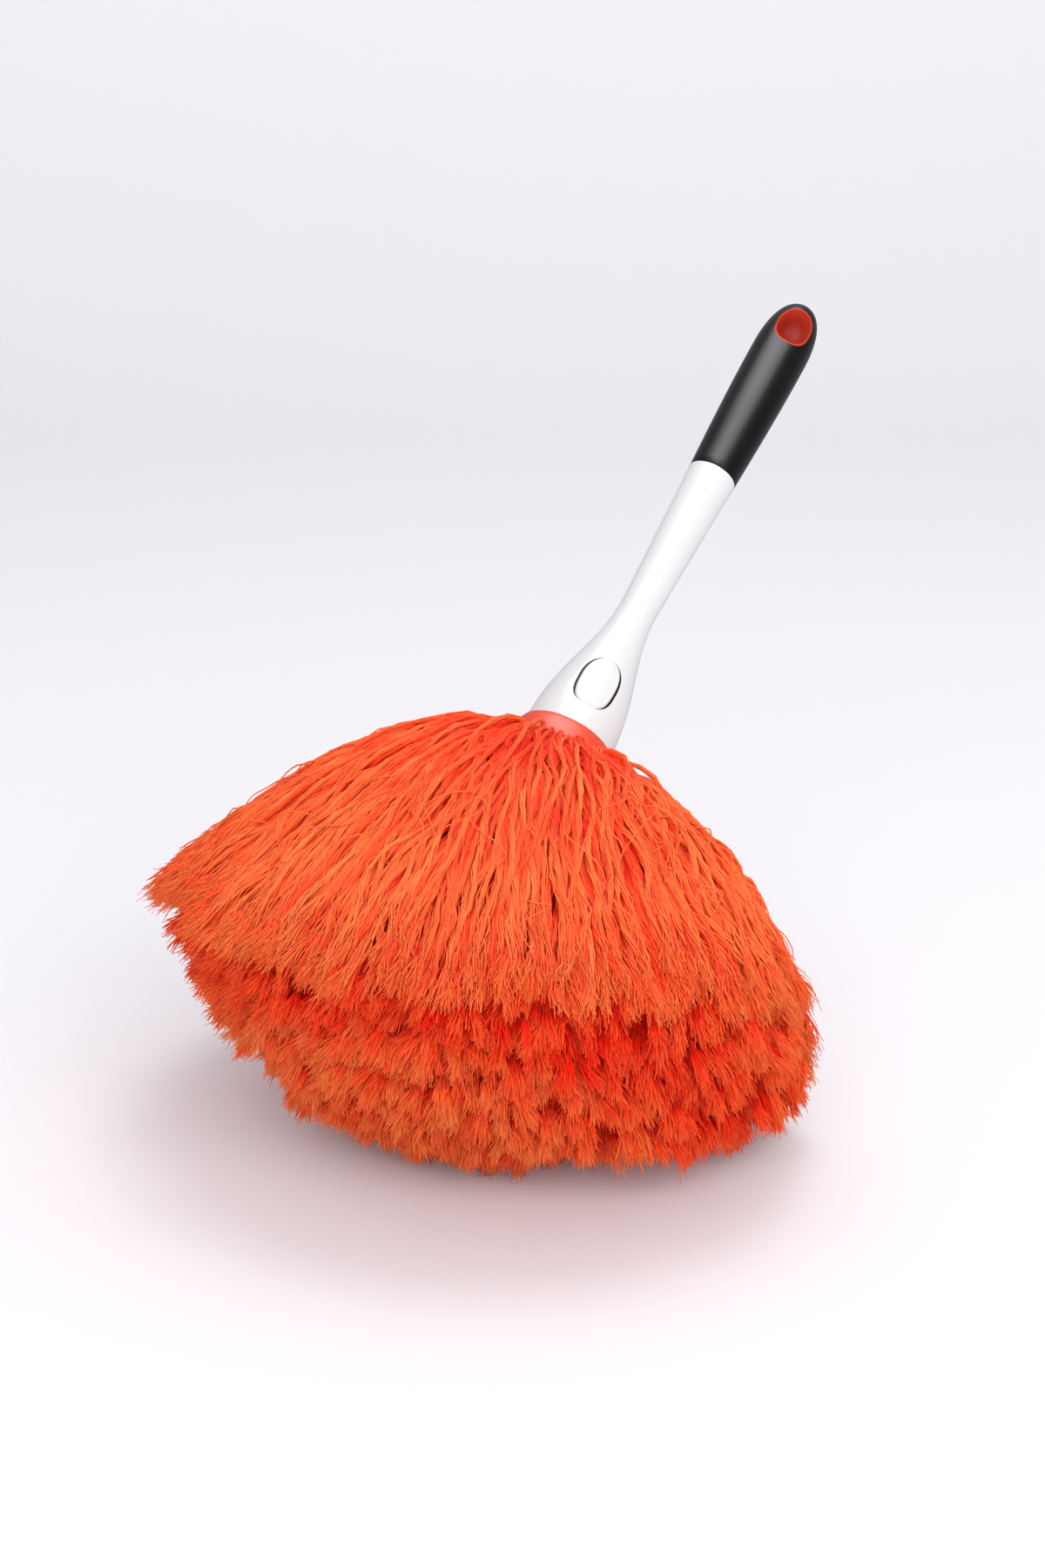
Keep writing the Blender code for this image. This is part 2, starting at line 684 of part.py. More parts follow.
def make_end_cap():
    orange = plastic("orange end cap", orange_plastic, 0.4)
    radius = END_HOLE_RADIUS - GAP
    top = CORE_END - GAP
    face = TIERS_END - END_DOME_DEPTH
    seat = face + 2 * SCREW_HEAD_DEPTH
    hole = SCREW_RADIUS + GAP
    recess = SCREW_HEAD_RADIUS + GAP
    outline = [
        (radius, top),
        (radius, face),
        (END_CAP_FACE_RADIUS, face - OVERLAP),
        (recess, face - OVERLAP),
        (recess, seat),
        (hole, seat),
        (hole, top),
    ]
    return turned("end_cap", outline, head_axis, orange, segments=24)


def make_end_screw():
    metal = plastic("zinc plated end screw", steel, 0.3, metallic=1.0)
    seat = TIERS_END - END_DOME_DEPTH + 2 * SCREW_HEAD_DEPTH - GAP
    outline = [
        (0.0, seat + END_SCREW_LENGTH),
        (SCREW_RADIUS, seat + END_SCREW_LENGTH - SCREW_RADIUS),
        (SCREW_RADIUS, seat),
        (SCREW_HEAD_RADIUS, seat),
        (SCREW_FACE_RADIUS, seat - SCREW_HEAD_DEPTH),
        (0.0, seat - SCREW_HEAD_DEPTH),
    ]
    return turned("end_screw", outline, head_axis, metal, closed=False, segments=16)


# Yarn strands

head_centre = to_world @ Vector((0, 0, -HEAD_CENTRE_DEPTH))
trimming = random.Random(5)


def folded(rise, run):
    # Strands that start upwards lie over onto the ones beneath them within a short way.
    if rise < FOLD_ABOVE:
        return rise
    laid = FOLD_ABOVE + (rise - FOLD_ABOVE) * FOLD
    return laid + (rise - laid) * math.exp(-run / FOLD_LENGTH)


def fan_angle(row):
    # Rows share the fan's solid angle equally, so the cosines are evenly spaced.
    wide = math.cos(FAN_WIDEST)
    narrow = math.cos(FAN_NARROWEST)
    return math.acos(min(wide + (narrow - wide) * row / (ROW_COUNT - 1), 1.0))


def strand_path(root, row, column):
    # Points along one strand in the world: it leaves along its own ray and droops to the floor.
    angle = fan_angle(row)
    stagger = (row * ROW_STAGGER) % 1.0 - 0.5
    turn = 2 * math.pi * (column + STRAND_CELL_CENTRE + stagger) / STRANDS_PER_ROW
    aim = Vector((math.sin(angle) * math.cos(turn), math.sin(angle) * math.sin(turn), -math.cos(angle)))
    aim = to_world.to_3x3() @ aim
    level = Vector((aim.x, aim.y, 0)).normalized()
    rise = math.asin(aim.z)
    reach = HEAD_RADIUS * (1 - STRAND_TRIM * trimming.random())
    point = root.copy()
    trail = [point.copy()]
    run = 0.0
    while (point - head_centre).length < reach and point.z > 0:
        share = min(run / DROOP_LENGTH, 1.0)
        lean = folded(rise, run)
        slope = lean - DROOP * math.cos(lean) * (1 - (1 - share) ** DROOP_CURVE)
        point = point + (level * math.cos(slope) + Vector((0, 0, math.sin(slope)))) * PATH_STEP
        trail.append(point.copy())
        run += PATH_STEP
    return trail


def add_strand(bm, base, row, column):
    # Grows one three-sided strand from a triangular face of its backing.
    corners = [vert.co.copy() for vert in base]
    centre = to_world @ ((corners[0] + corners[1] + corners[2]) / 3)
    trail = strand_path(centre, row, column)
    azimuth = 2 * math.pi * (column + STRAND_CELL_CENTRE) / STRANDS_PER_ROW
    around = to_world.to_3x3() @ Vector((-math.sin(azimuth), math.cos(azimuth), 0))
    loop = base
    root_radius = math.hypot(*(to_local @ centre).to_2d())
    angle = fan_angle(row)
    row_pitch = TIER_HEIGHT / TIER_ROWS
    squeeze = FOLD if trail[-1].z > head_centre.z - HEAD_RADIUS / 2 else 1.0
    for share in STRAND_SHARES:
        index = round((len(trail) - 1) * share)
        before = trail[max(index - 4, 0)]
        tangent = (trail[index] - before).normalized()
        first = (around - tangent * around.dot(tangent)).normalized()
        second = tangent.cross(first)
        run = (trail[index] - centre).length
        beside = 2 * math.pi * (root_radius + run * math.sin(angle)) / STRANDS_PER_ROW
        between = row_pitch * math.sin(angle) + run * (angle - fan_angle(row + 1)) * squeeze
        radius = STRAND_ROOT_RADIUS + (STRAND_TIP_RADIUS - STRAND_ROOT_RADIUS) * share
        radius = min(radius, beside * STRAND_SHARE_OF_ROOM, between * STRAND_SHARE_OF_ROOM)
        ring = []
        for degrees in (135, 255, 15):
            turn = math.radians(degrees)
            ring.append(trail[index] + (first * math.cos(turn) + second * math.sin(turn)) * radius)
        if share == STRAND_SHARES[-1]:
            ring = settle_on_floor(ring, tangent)
        new_loop = [bm.verts.new(to_local @ point) for point in ring]
        for side in range(3):
            after = (side + 1) % 3
            bm.faces.new((loop[side], loop[after], new_loop[after]))
            bm.faces.new((loop[side], new_loop[after], new_loop[side]))
        loop = new_loop
    bm.faces.new(loop)


def settle_on_floor(ring, tangent):
    # An end that meets the floor is cut flat on it. One that would only graze it is drawn back.
    lowest = min(point.z for point in ring)
    middle = (ring[0] + ring[1] + ring[2]) / 3
    if lowest > OVERLAP:
        return ring
    if tangent.z < -FLOOR_SLOPE and middle.z < STRAND_TIP_RADIUS:
        return [point - tangent * (point.z / tangent.z) for point in ring]
    back = (OVERLAP - lowest) / max(-tangent.z, FLOOR_SLOPE / 2)
    drawn = [point - tangent * back for point in ring]
    short = OVERLAP - min(point.z for point in drawn)
    return [point + Vector((0, 0, max(short, 0))) for point in drawn]


def make_tier(name, outer, inner, first_row, material):
    # The backing is a ring of tape whose outer cells each give half their face to one strand.
    bm = bmesh.new()

    def level_ring(radius, height):
        ring = []
        for column in range(STRANDS_PER_ROW):
            turn = 2 * math.pi * column / STRANDS_PER_ROW
            ring.append(bm.verts.new((radius * math.cos(turn), radius * math.sin(turn), height)))
        return ring

    outside = [level_ring(radius, height) for radius, height in outer]
    inside = [level_ring(radius, height) for radius, height in inner]
    for row in range(len(outer) - 1):
        for column in range(STRANDS_PER_ROW):
            after = (column + 1) % STRANDS_PER_ROW
            top_left = outside[row][column]
            top_right = outside[row][after]
            low_left = outside[row + 1][column]
            low_right = outside[row + 1][after]
            bm.faces.new((top_right, low_left, low_right))
            add_strand(bm, [top_left, low_left, top_right], first_row + row, column)
    around = [outside[-1]] + inside + [outside[0]]
    for upper, lower in zip(around, around[1:]):
        for column in range(STRANDS_PER_ROW):
            after = (column + 1) % STRANDS_PER_ROW
            bm.faces.new((upper[column], lower[column], lower[after], upper[after]))
    bmesh.ops.triangulate(bm, faces=bm.faces[:])
    return add_object(name, finish_mesh(name, bm, smooth=False), head_axis, material)


def make_yarn_tiers():
    orange = plastic("orange microfiber yarn", (0.93, 0.13, 0.04), 0.85)
    for tier in range(TIER_COUNT):
        top = TIER_START - tier * (TIER_HEIGHT + GAP)
        heights = spread(top, top - TIER_HEIGHT, TIER_ROWS)
        outer = [(TAPE_RADIUS, height) for height in heights]
        inner = [(TAPE_INNER_RADIUS, heights[-1]), (TAPE_INNER_RADIUS, heights[0])]
        make_tier(f"yarn_tier_{tier + 1}", outer, inner, tier * TIER_ROWS, orange)
    outer = []
    pole_radius = END_HOLE_RADIUS + OVERLAP
    for turn in spread(0, END_DOME_SWEEP, END_ROWS):
        radius = pole_radius + (TAPE_RADIUS - pole_radius) * math.cos(turn)
        outer.append((radius, TIERS_END - END_DOME_DEPTH * math.sin(turn)))
    inner = [
        (END_HOLE_RADIUS, outer[-1][1]),
        (END_HOLE_RADIUS, CORE_END - GAP),
        (TAPE_INNER_RADIUS, CORE_END - GAP),
        (TAPE_INNER_RADIUS, TIERS_END),
    ]
    make_tier("yarn_end_tier", outer, inner, TIER_COUNT * TIER_ROWS, orange)


def centre_on_origin():
    # The origin is the middle of the whole duster's footprint, on the floor.
    bpy.context.view_layer.update()
    depsgraph = bpy.context.evaluated_depsgraph_get()
    xs = []
    ys = []
    for item in parts.objects:
        if item.type not in {"MESH", "CURVE"}:
            continue
        shape = item.evaluated_get(depsgraph)
        mesh = shape.to_mesh()
        for vert in mesh.vertices:
            place = item.matrix_world @ vert.co
            xs.append(place.x)
            ys.append(place.y)
        shape.to_mesh_clear()
    base.location = (-(min(xs) + max(xs)) / 2, -(min(ys) + max(ys)) / 2, 0)
    bpy.context.view_layer.update()


make_handle_shell()
make_soft_grip()
make_hang_liner()
make_socket_insert()
make_insert_screws()
make_latch_clip()
make_button_spring()
make_release_button()
make_head_collar()
make_head_plug()
make_core_tube()
make_plug_pin()
make_top_washer()
make_yarn_tiers()
make_end_cap()
make_end_screw()
centre_on_origin()
placed = handle_axis.matrix_world
print("rim centre", tuple(round(value, 5) for value in placed.translation))
print("handle axis", tuple(round(value, 5) for value in placed.to_3x3() @ Vector((0, 0, 1))))
print("button axis", tuple(round(value, 5) for value in placed.to_3x3() @ Vector((1, 0, 0))))
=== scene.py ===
import json
import math

import bpy
import numpy as np
from mathutils import Matrix, Vector


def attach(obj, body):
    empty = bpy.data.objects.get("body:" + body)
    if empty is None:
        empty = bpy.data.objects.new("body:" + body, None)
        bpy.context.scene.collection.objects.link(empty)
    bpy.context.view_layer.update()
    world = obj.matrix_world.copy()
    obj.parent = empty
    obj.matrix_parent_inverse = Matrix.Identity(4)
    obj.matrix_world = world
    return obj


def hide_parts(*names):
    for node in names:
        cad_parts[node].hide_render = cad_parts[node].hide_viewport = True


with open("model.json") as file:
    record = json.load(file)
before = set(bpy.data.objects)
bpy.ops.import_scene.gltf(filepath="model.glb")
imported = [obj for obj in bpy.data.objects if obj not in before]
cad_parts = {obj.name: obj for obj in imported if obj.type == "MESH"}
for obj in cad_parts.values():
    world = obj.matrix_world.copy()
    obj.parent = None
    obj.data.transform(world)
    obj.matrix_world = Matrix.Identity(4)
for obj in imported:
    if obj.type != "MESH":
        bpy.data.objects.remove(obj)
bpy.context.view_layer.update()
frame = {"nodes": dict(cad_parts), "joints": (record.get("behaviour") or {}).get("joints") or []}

# The handle's own space: z runs from the head to the grip's tip, x points out of the button,
# and z = 0 is the white rim
joints = {joint["name"]: joint for joint in frame["joints"]}
along = Vector(joints["handle_pull"]["axis"]).normalized()
outward = -Vector(joints["button_press"]["axis"])
outward = (outward - along * outward.dot(along)).normalized()
across = along.cross(outward)
axes = np.array([outward, across, along])
shellPoints = np.array([vertex.co for vertex in frame["nodes"]["handle_shell"].data.vertices])
shellLevels = shellPoints @ axes[2]
rimCentre = Vector(shellPoints[shellLevels < shellLevels.min() + 1e-5].mean(axis=0))
handleSpace = Matrix((outward, across, along)).transposed().to_4x4()
handleSpace.translation = rimCentre
print("rim centre", [round(value, 4) for value in rimCentre])


def linearColor(code):
    # sRGB hex to the linear values that shaders take
    values = [int(code[place:place + 2], 16) / 255 for place in (1, 3, 5)]
    bent = [value / 12.92 if value <= 0.04045 else ((value + 0.055) / 1.055) ** 2.4 for value in values]
    return (*bent, 1.0)


def addNode(material, kind, settings=None, links=None):
    # one node with its settings and links; a setting is a property or else a socket
    node = material.node_tree.nodes.new(kind)
    for name, value in (settings or {}).items():
        if isinstance(name, str) and hasattr(node, name):
            setattr(node, name, value)
        else:
            node.inputs[name].default_value = value
    for name, source in (links or {}).items():
        material.node_tree.links.new(node.inputs[name], source)
    return node


def newMaterial(name, sockets):
    material = bpy.data.materials.new(name)
    material.use_nodes = True
    shader = material.node_tree.nodes["Principled BSDF"]
    for socket, value in sockets.items():
        shader.inputs[socket].default_value = value
    return material


def connect(material, source, socket):
    # into a socket of the material's shader
    shader = material.node_tree.nodes["Principled BSDF"]
    material.node_tree.links.new(shader.inputs[socket], source)


def objectNoise(material, size, detail):
    # noise over the piece, with blotches of about that size in metres
    place = addNode(material, "ShaderNodeTexCoord")
    noise = addNode(material, "ShaderNodeTexNoise", {"Scale": 1 / size, "Detail": detail},
                    {"Vector": place.outputs["Object"]})
    return noise.outputs["Fac"]


def toneRamp(material, source, dark, light, middle=None):
    ramp = addNode(material, "ShaderNodeValToRGB", links={"Fac": source})
    ramp.color_ramp.elements[0].color = linearColor(dark)
    ramp.color_ramp.elements[1].color = linearColor(light)
    if middle:
        ramp.color_ramp.elements.new(0.5).color = linearColor(middle)
    return ramp.outputs["Color"]


def spreadBetween(material, source, low, high):
    # a value from 0 to 1 brought to another range
    node = addNode(material, "ShaderNodeMapRange", {"To Min": low, "To Max": high}, {"Value": source})
    return node.outputs["Result"]


def weighted(material, source, factor, added):
    node = addNode(material, "ShaderNodeMath", {"operation": "MULTIPLY_ADD", 1: factor},
                   {0: source, 2: added})
    return node.outputs["Value"]


def scaledColor(material, color, factor):
    node = addNode(material, "ShaderNodeVectorMath", {"operation": "SCALE"}, {0: color, "Scale": factor})
    return node.outputs["Vector"]


def grainBump(material, source, strength, distance):
    bump = addNode(material, "ShaderNodeBump", {"Strength": strength, "Distance": distance},
                   {"Height": source})
    return bump.outputs["Normal"]


def sceneObject(name, data):
    item = bpy.data.objects.new(name, data)
    bpy.context.scene.collection.objects.link(item)
    return item


def meshObject(name, points, faces, material):
    mesh = bpy.data.meshes.new(name)
    mesh.from_pydata([tuple(point) for point in points], [], faces)
    mesh.validate()
    mesh.polygons.foreach_set("use_smooth", [True] * len(mesh.polygons))
    mesh.materials.append(material)
    return sceneObject(name, mesh)


def addTone(mesh, name, tones):
    # a value at each point, for the piece's material
    attribute = mesh.attributes.new(name, "FLOAT", "POINT")
    attribute.data.foreach_set("value", np.asarray(tones, dtype=np.float32))


def ringFaces(rings, count, closed=False):
    # quads between rings of points; closed joins the last ring to the first
    faces = []
    for ring in range(rings if closed else rings - 1):
        below = (ring + 1) % rings
        for step in range(count):
            after = (step + 1) % count
            faces.append((ring * count + step, below * count + step,
                          below * count + after, ring * count + after))
    return faces


def cappedFaces(rings, count):
    # the same quads, with a face over either end
    first = tuple(range(count))
    last = tuple((rings - 1) * count + step for step in first)
    return ringFaces(rings, count) + [first[::-1], last]


def eased(value, start, width):
    # 0 up to start, 1 from start + width on, and a soft rise between
    part = np.clip((value - start) / width, 0, 1)
    return part * part * (3 - 2 * part)


def mixed(first, second, share):
    return first + (second - first) * share


# Materials

def cloudedMaterial(name, sockets, cloud, colors, grain=None, rough=None, bump=None):
    # colour clouds between two; roughness and bump follow a finer grain, or else the clouds
    material = newMaterial(name, sockets)
    source = objectNoise(material, *cloud)
    connect(material, toneRamp(material, source, *colors), "Base Color")
    if grain:
        source = objectNoise(material, *grain)
    if rough:
        connect(material, spreadBetween(material, source, *rough), "Roughness")
    if bump:
        connect(material, grainBump(material, source, *bump), "Normal")
    return material


def whiteAbsMaterial():
    # polished moulded ABS: clean reflections, softened by a faint mould texture
    return cloudedMaterial("glossMouldedAbs", {"IOR": 1.54}, (0.030, 2.0), ("#D2D2D4", "#D8D8D9"),
                           (0.0012, 3.0), (0.13, 0.20), (0.03, 0.00004))


def softGripMaterial():
    # moulded thermoplastic elastomer: a broad dull sheen over a fine sandblasted grain
    material = cloudedMaterial("sandblastedElastomer", {"IOR": 1.50, "Specular IOR Level": 0.17},
                               (0.018, 3.0), ("#070708", "#0C0C0E"), rough=(0.33, 0.40))
    grain = objectNoise(material, 0.0005, 4.0)
    connect(material, grainBump(material, grain, 0.25, 0.00006), "Normal")
    return material


def orangePlasticMaterial():
    # tinted polypropylene with a satin finish: soft highlights, deep red where it turns away
    return cloudedMaterial("satinPolypropylene", {"IOR": 1.49, "Specular IOR Level": 0.2},
                           (0.008, 3.0), ("#D24126", "#DC4A2B"),
                           (0.0008, 3.0), (0.40, 0.50), (0.08, 0.00005))


def linerMaterial():
    # the same plastic in the recess, with painted shade: deep red-brown at its bottom, where light
    # hardly gets back out
    material = newMaterial("recessPolypropylenePaintedShade",
                           {"IOR": 1.49, "Roughness": 0.5, "Specular IOR Level": 0.05})
    cloud = objectNoise(material, 0.005, 3.0)
    sunk = addNode(material, "ShaderNodeAttribute", {"attribute_name": "recessPaintedShade"})
    tone = weighted(material, cloud, 0.16, sunk.outputs["Fac"])
    connect(material, toneRamp(material, tone, "#80170B", "#D4452C"), "Base Color")
    return material


def greyNylonMaterial():
    # moulded nylon of the hidden works: dull, with a faint flow mottle
    return cloudedMaterial("mouldedNylon", {"IOR": 1.53, "Roughness": 0.5}, (0.004, 4.0),
                           ("#9C9EA2", "#AEB0B4"), bump=(0.1, 0.00005))


def steelMaterial(name, dark, light, size):
    # drawn or plated steel: metal with fine blotches of duller plating
    return cloudedMaterial(name, {"Metallic": 1.0}, (size, 4.0), (dark, light), rough=(0.22, 0.38))


def yarnMaterial():
    # spun polyester microfiber: no gloss, a soft sheen at the edges; the tone, partly painted shade, goes
    # from the deep red of shaded inner yarn to the light orange of open tips, and changes from yarn to
    # yarn
    material = newMaterial("spunMicrofiber", {
        "IOR": 1.50, "Roughness": 0.9, "Specular IOR Level": 0.1,
        "Sheen Weight": 0.2, "Sheen Roughness": 0.5, "Sheen Tint": linearColor("#FF8A52"),
    })
    tone = addNode(material, "ShaderNodeAttribute", {"attribute_name": "yarnToneAndPaintedShade"})
    color = toneRamp(material, tone.outputs["Fac"], "#F4200E", "#F67F43", "#FA5C2F")
    fleck = spreadBetween(material, objectNoise(material, 0.0015, 2.0), 0.90, 1.06)
    connect(material, scaledColor(material, color, fleck), "Base Color")
    return material


whiteAbs = whiteAbsMaterial()
blackGrip = softGripMaterial()
orangePlastic = orangePlasticMaterial()
recessPlastic = linerMaterial()
greyNylon = greyNylonMaterial()
platedSteel = steelMaterial("zincPlatedSteel", "#A9ABAF", "#C9CBCE", 0.0015)
springSteel = steelMaterial("drawnSpringSteel", "#8F9196", "#BDBFC3", 0.0008)
microfiber = yarnMaterial()
print("materials made")


# Solids that stay, with round shading

def roundShading():
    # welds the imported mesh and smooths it, keeping edges over 35 degrees sharp
    group = bpy.data.node_groups.new("roundShading", "GeometryNodeTree")
    group.interface.new_socket("Geometry", in_out="INPUT", socket_type="NodeSocketGeometry")
    group.interface.new_socket("Geometry", in_out="OUTPUT", socket_type="NodeSocketGeometry")
    source = group.nodes.new("NodeGroupInput")
    target = group.nodes.new("NodeGroupOutput")
    weld = group.nodes.new("GeometryNodeMergeByDistance")
    weld.inputs["Distance"].default_value = 0.00001
    faces = group.nodes.new("GeometryNodeSetShadeSmooth")
    edges = group.nodes.new("GeometryNodeSetShadeSmooth")
    edges.domain = "EDGE"
    angle = group.nodes.new("GeometryNodeInputMeshEdgeAngle")
    flat = group.nodes.new("FunctionNodeCompare")
    flat.operation = "LESS_THAN"
    flat.inputs["B"].default_value = math.radians(35)
    chain = (source, weld, faces, edges, target)
    for before, after in zip(chain, chain[1:]):
        group.links.new(before.outputs["Geometry"], after.inputs["Geometry"])
    group.links.new(angle.outputs["Unsigned Angle"], flat.inputs["A"])
    group.links.new(flat.outputs["Result"], edges.inputs["Shade Smooth"])
    return group


shading = roundShading()


def shadeRound(item):
    item.modifiers.new("roundShading", "NODES").node_group = shading


keptNodes = {
    "white_plastic": (whiteAbs, ("handle_shell",)),
    "orange_plastic": (orangePlastic, ("head_collar", "head_plug", "end_cap")),
    "grey_plastic": (greyNylon, ("socket_insert", "core_tube", "top_washer")),
    "plated_steel": (platedSteel, ("insert_screw_1", "insert_screw_2", "plug_pin", "end_screw")),
    "spring_steel": (springSteel, ("latch_clip", "button_spring")),
}
for slotName, (material, names) in keptNodes.items():
    for name in names:
        node = frame["nodes"][name]
        for slotItem in node.material_slots:
            slotItem.material = material
        shadeRound(node)
print("CAD pieces dressed")


# Handle pieces with finer forms than the solids

def inWorld(points):
    return [handleSpace @ Vector(point) for point in points]


def placed(name, points, faces, material, body, nodeName=None):
    # a piece built in the handle's space
    item = meshObject(name, inWorld(points), faces, material)
    shadeRound(item)
    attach(item, body)
    if nodeName:
        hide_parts(nodeName)
    return item


def closedRings(rings):
    # a solid from rings of equal count, capped at both ends
    return [point for ring in rings for point in ring], cappedFaces(len(rings), len(rings[0]))


def softSquare(piece, width="halfWidth", length="halfLength", grow=0):
    # a piece's egg-like outline, squarer at its lower end: pairs of across and along
    halfWidth, halfLength = piece[width] + grow, piece[length] + grow
    outline = []
    for step in range(piece["steps"]):
        turn = 2 * math.pi * step / piece["steps"]
        power = 2 / (piece["lower"] if math.sin(turn) < 0 else piece["upper"])
        wide = math.copysign(abs(math.cos(turn)) ** power, math.cos(turn))
        tall = math.copysign(abs(math.sin(turn)) ** power, math.sin(turn))
        outline.append((halfWidth * wide, piece["centre"] + halfLength * tall))
    return outline


def scaledOutline(outline, centre, factor):
    return [(y * factor, centre + (z - centre) * factor) for y, z in outline]


def laidOn(outline, radiusAt, depth):
    # the outline projected onto a turned surface, then sunk by depth
    ring = []
    for y, z in outline:
        radius = radiusAt(z)
        ring.append((math.sqrt(max(radius * radius - y * y, 0)) - depth, y, z))
    return ring


def layered(outline, centre, radiusAt, layers):
    # rings from pairs of the outline's scale and depth
    return [laidOn(scaledOutline(outline, centre, factor), radiusAt, sunk) for factor, sunk in layers]


# The bell's radius at each height: a curve through the shell's full rings
bell = {"end": 0.077, "leastPoints": 32, "degree": 6}
shellLocal = (shellPoints - np.array(rimCentre)) @ axes.T
bellRings = []
for level in sorted(set(np.round(shellLocal[:, 2], 5))):
    ring = shellLocal[np.abs(shellLocal[:, 2] - level) < 0.00002]
    if level < bell["end"] and len(ring) >= bell["leastPoints"]:
        bellRings.append((level, float(np.hypot(ring[:, 0], ring[:, 1]).max())))
shellCurve = np.polyfit(*zip(*bellRings), bell["degree"])


def shellRadius(level):
    return float(np.polyval(shellCurve, level))


button = {
    "centre": 0.0247,
    "halfLength": 0.0140,
    "halfWidth": 0.0088,      # the gap is wide at the sides and thin at the ends
    "lower": 3.2,
    "upper": 2.3,
    "faceRings": (0.03, 0.3, 0.55, 0.75, 0.88),
    "edgeStart": 0.94,
    "edgeDip": 0.00003,
    "edgeTurns": (20, 45, 70, 90),
    "edge": 0.0007,
    "skirt": 0.0024,
    "flangeStep": 0.0001,
    "flangeEnd": 0.0034,
    "flangeReach": 0.001,     # past the window
    "windowWidth": 0.0100,
    "windowLength": 0.0143,
    "steps": 72,
}
wedge = {
    "level": 0.018,
    "tip": 0.0128,
    "tipHalfWidth": 0.0010,
    "rootHalfWidth": 0.0018,
    "halfHeight": 0.0025,
    "sunk": 0.0005,           # into the flange
}
# painted shade: a dark sheet under the gap round the button
gapShade = {
    "depth": 0.0011,
    "thickness": 0.0008,
    "inside": 0.0001,         # past the button
    "outside": 0.0005,        # past the window
}


def makeButton():
    centre = button["centre"]
    outline = softSquare(button)
    layers = [(factor, 0) for factor in button["faceRings"]]
    layers.append((button["edgeStart"], button["edgeDip"]))
    for degrees in button["edgeTurns"]:
        turn = math.radians(degrees)
        inward = 1 - (1 - math.sin(turn)) * button["edge"] / button["halfWidth"]
        layers.append((inward, button["edge"] * (1 - math.cos(turn)) + button["edgeDip"]))
    rings = layered(outline, centre, shellRadius, layers)
    rings.append(laidOn(outline, shellRadius, button["skirt"]))
    wide = softSquare(button, "windowWidth", "windowLength", button["flangeReach"])
    middle = scaledOutline(outline, centre, button["faceRings"][0])
    rings.append(laidOn(wide, shellRadius, button["skirt"] + button["flangeStep"]))
    rings.append(laidOn(wide, shellRadius, button["flangeEnd"]))
    rings.append(laidOn(middle, shellRadius, button["flangeEnd"]))
    points, faces = closedRings(rings)

    # the wedge under the flange passes between the clip's ends, which don't spread here
    root = shellRadius(wedge["level"]) - button["flangeEnd"] + wedge["sunk"]
    near, far = wedge["tipHalfWidth"], wedge["rootHalfWidth"]
    for y, x in ((-near, wedge["tip"]), (near, wedge["tip"]), (far, root), (-far, root)):
        points += [(x, y, wedge["level"] + end * wedge["halfHeight"]) for end in (-1, 1)]
    first = len(points) - 8
    for step in range(4):
        after = (step + 1) % 4
        faces.append((first + 2 * step, first + 2 * step + 1, first + 2 * after + 1, first + 2 * after))
    faces.append((first, first + 2, first + 4, first + 6))
    faces.append((first + 7, first + 5, first + 3, first + 1))
    placed("releaseButton", points, faces, whiteAbs, "button", "release_button")


def makeButtonGapShade():
    # painted shade: a dark sheet fills the gap round the button a little below the surface
    near = softSquare(button, grow=gapShade["inside"])
    far = softSquare(button, "windowWidth", "windowLength", gapShade["outside"])
    top = gapShade["depth"]
    bottom = top + gapShade["thickness"]
    rings = [laidOn(near, shellRadius, top), laidOn(far, shellRadius, top)]
    rings += [laidOn(far, shellRadius, bottom), laidOn(near, shellRadius, bottom)]
    points = [point for ring in rings for point in ring]
    faces = ringFaces(len(rings), button["steps"], closed=True)
    placed("buttonGapShade", points, faces, blackGrip, "handle")


grip = {
    "start": 0.1603,
    "startRadius": 0.0122,
    "radius": 0.0142,
    "full": 0.238,            # full radius here, and rounded off from here to the end
    "end": 0.270,
    "tipCurve": 2.4,
    "tipSteps": 30,
    "sideSteps": 24,
    "pole": 0.0002,
    "bore": 0.0097,
    "boreEnd": 0.2353,
    "edge": 0.0005,
    "edgeTurns": (30, 60, 90),
    "steps": 96,
}
recess = {
    "centre": 0.2507,
    "halfLength": 0.0117,
    "halfWidth": 0.0090,
    "lower": 2.5,
    "upper": 2.1,
    "rim": 0.0007,
    "proud": 0.00012,
    "depth": 0.0088,
    "steepness": 2.6,
    "bowl": (0.72, 0.28),     # shares of the depth that end softly and steeply at the lip
    "floor": 0.0030,
    "clearance": 0.0002,
    "cutEnd": 0.03,
    "steps": 80,
    # painted shade: the dish's rings darken towards its bottom, below the lip's tone
    "tones": [0.0] * 9 + [0.03, 0.08, 0.15, 0.25, 0.38, 0.5],
    "lipTone": 0.6,
}


def gripRadius(level):
    if level <= grip["full"]:
        rise = max(level - grip["start"], 0) / (grip["full"] - grip["start"])
        return grip["startRadius"] + (grip["radius"] - grip["startRadius"]) * math.sin(rise * math.pi / 2)
    reach = min((level - grip["full"]) / (grip["end"] - grip["full"]), 1)
    return grip["radius"] * (1 - reach ** grip["tipCurve"]) ** (1 / grip["tipCurve"])


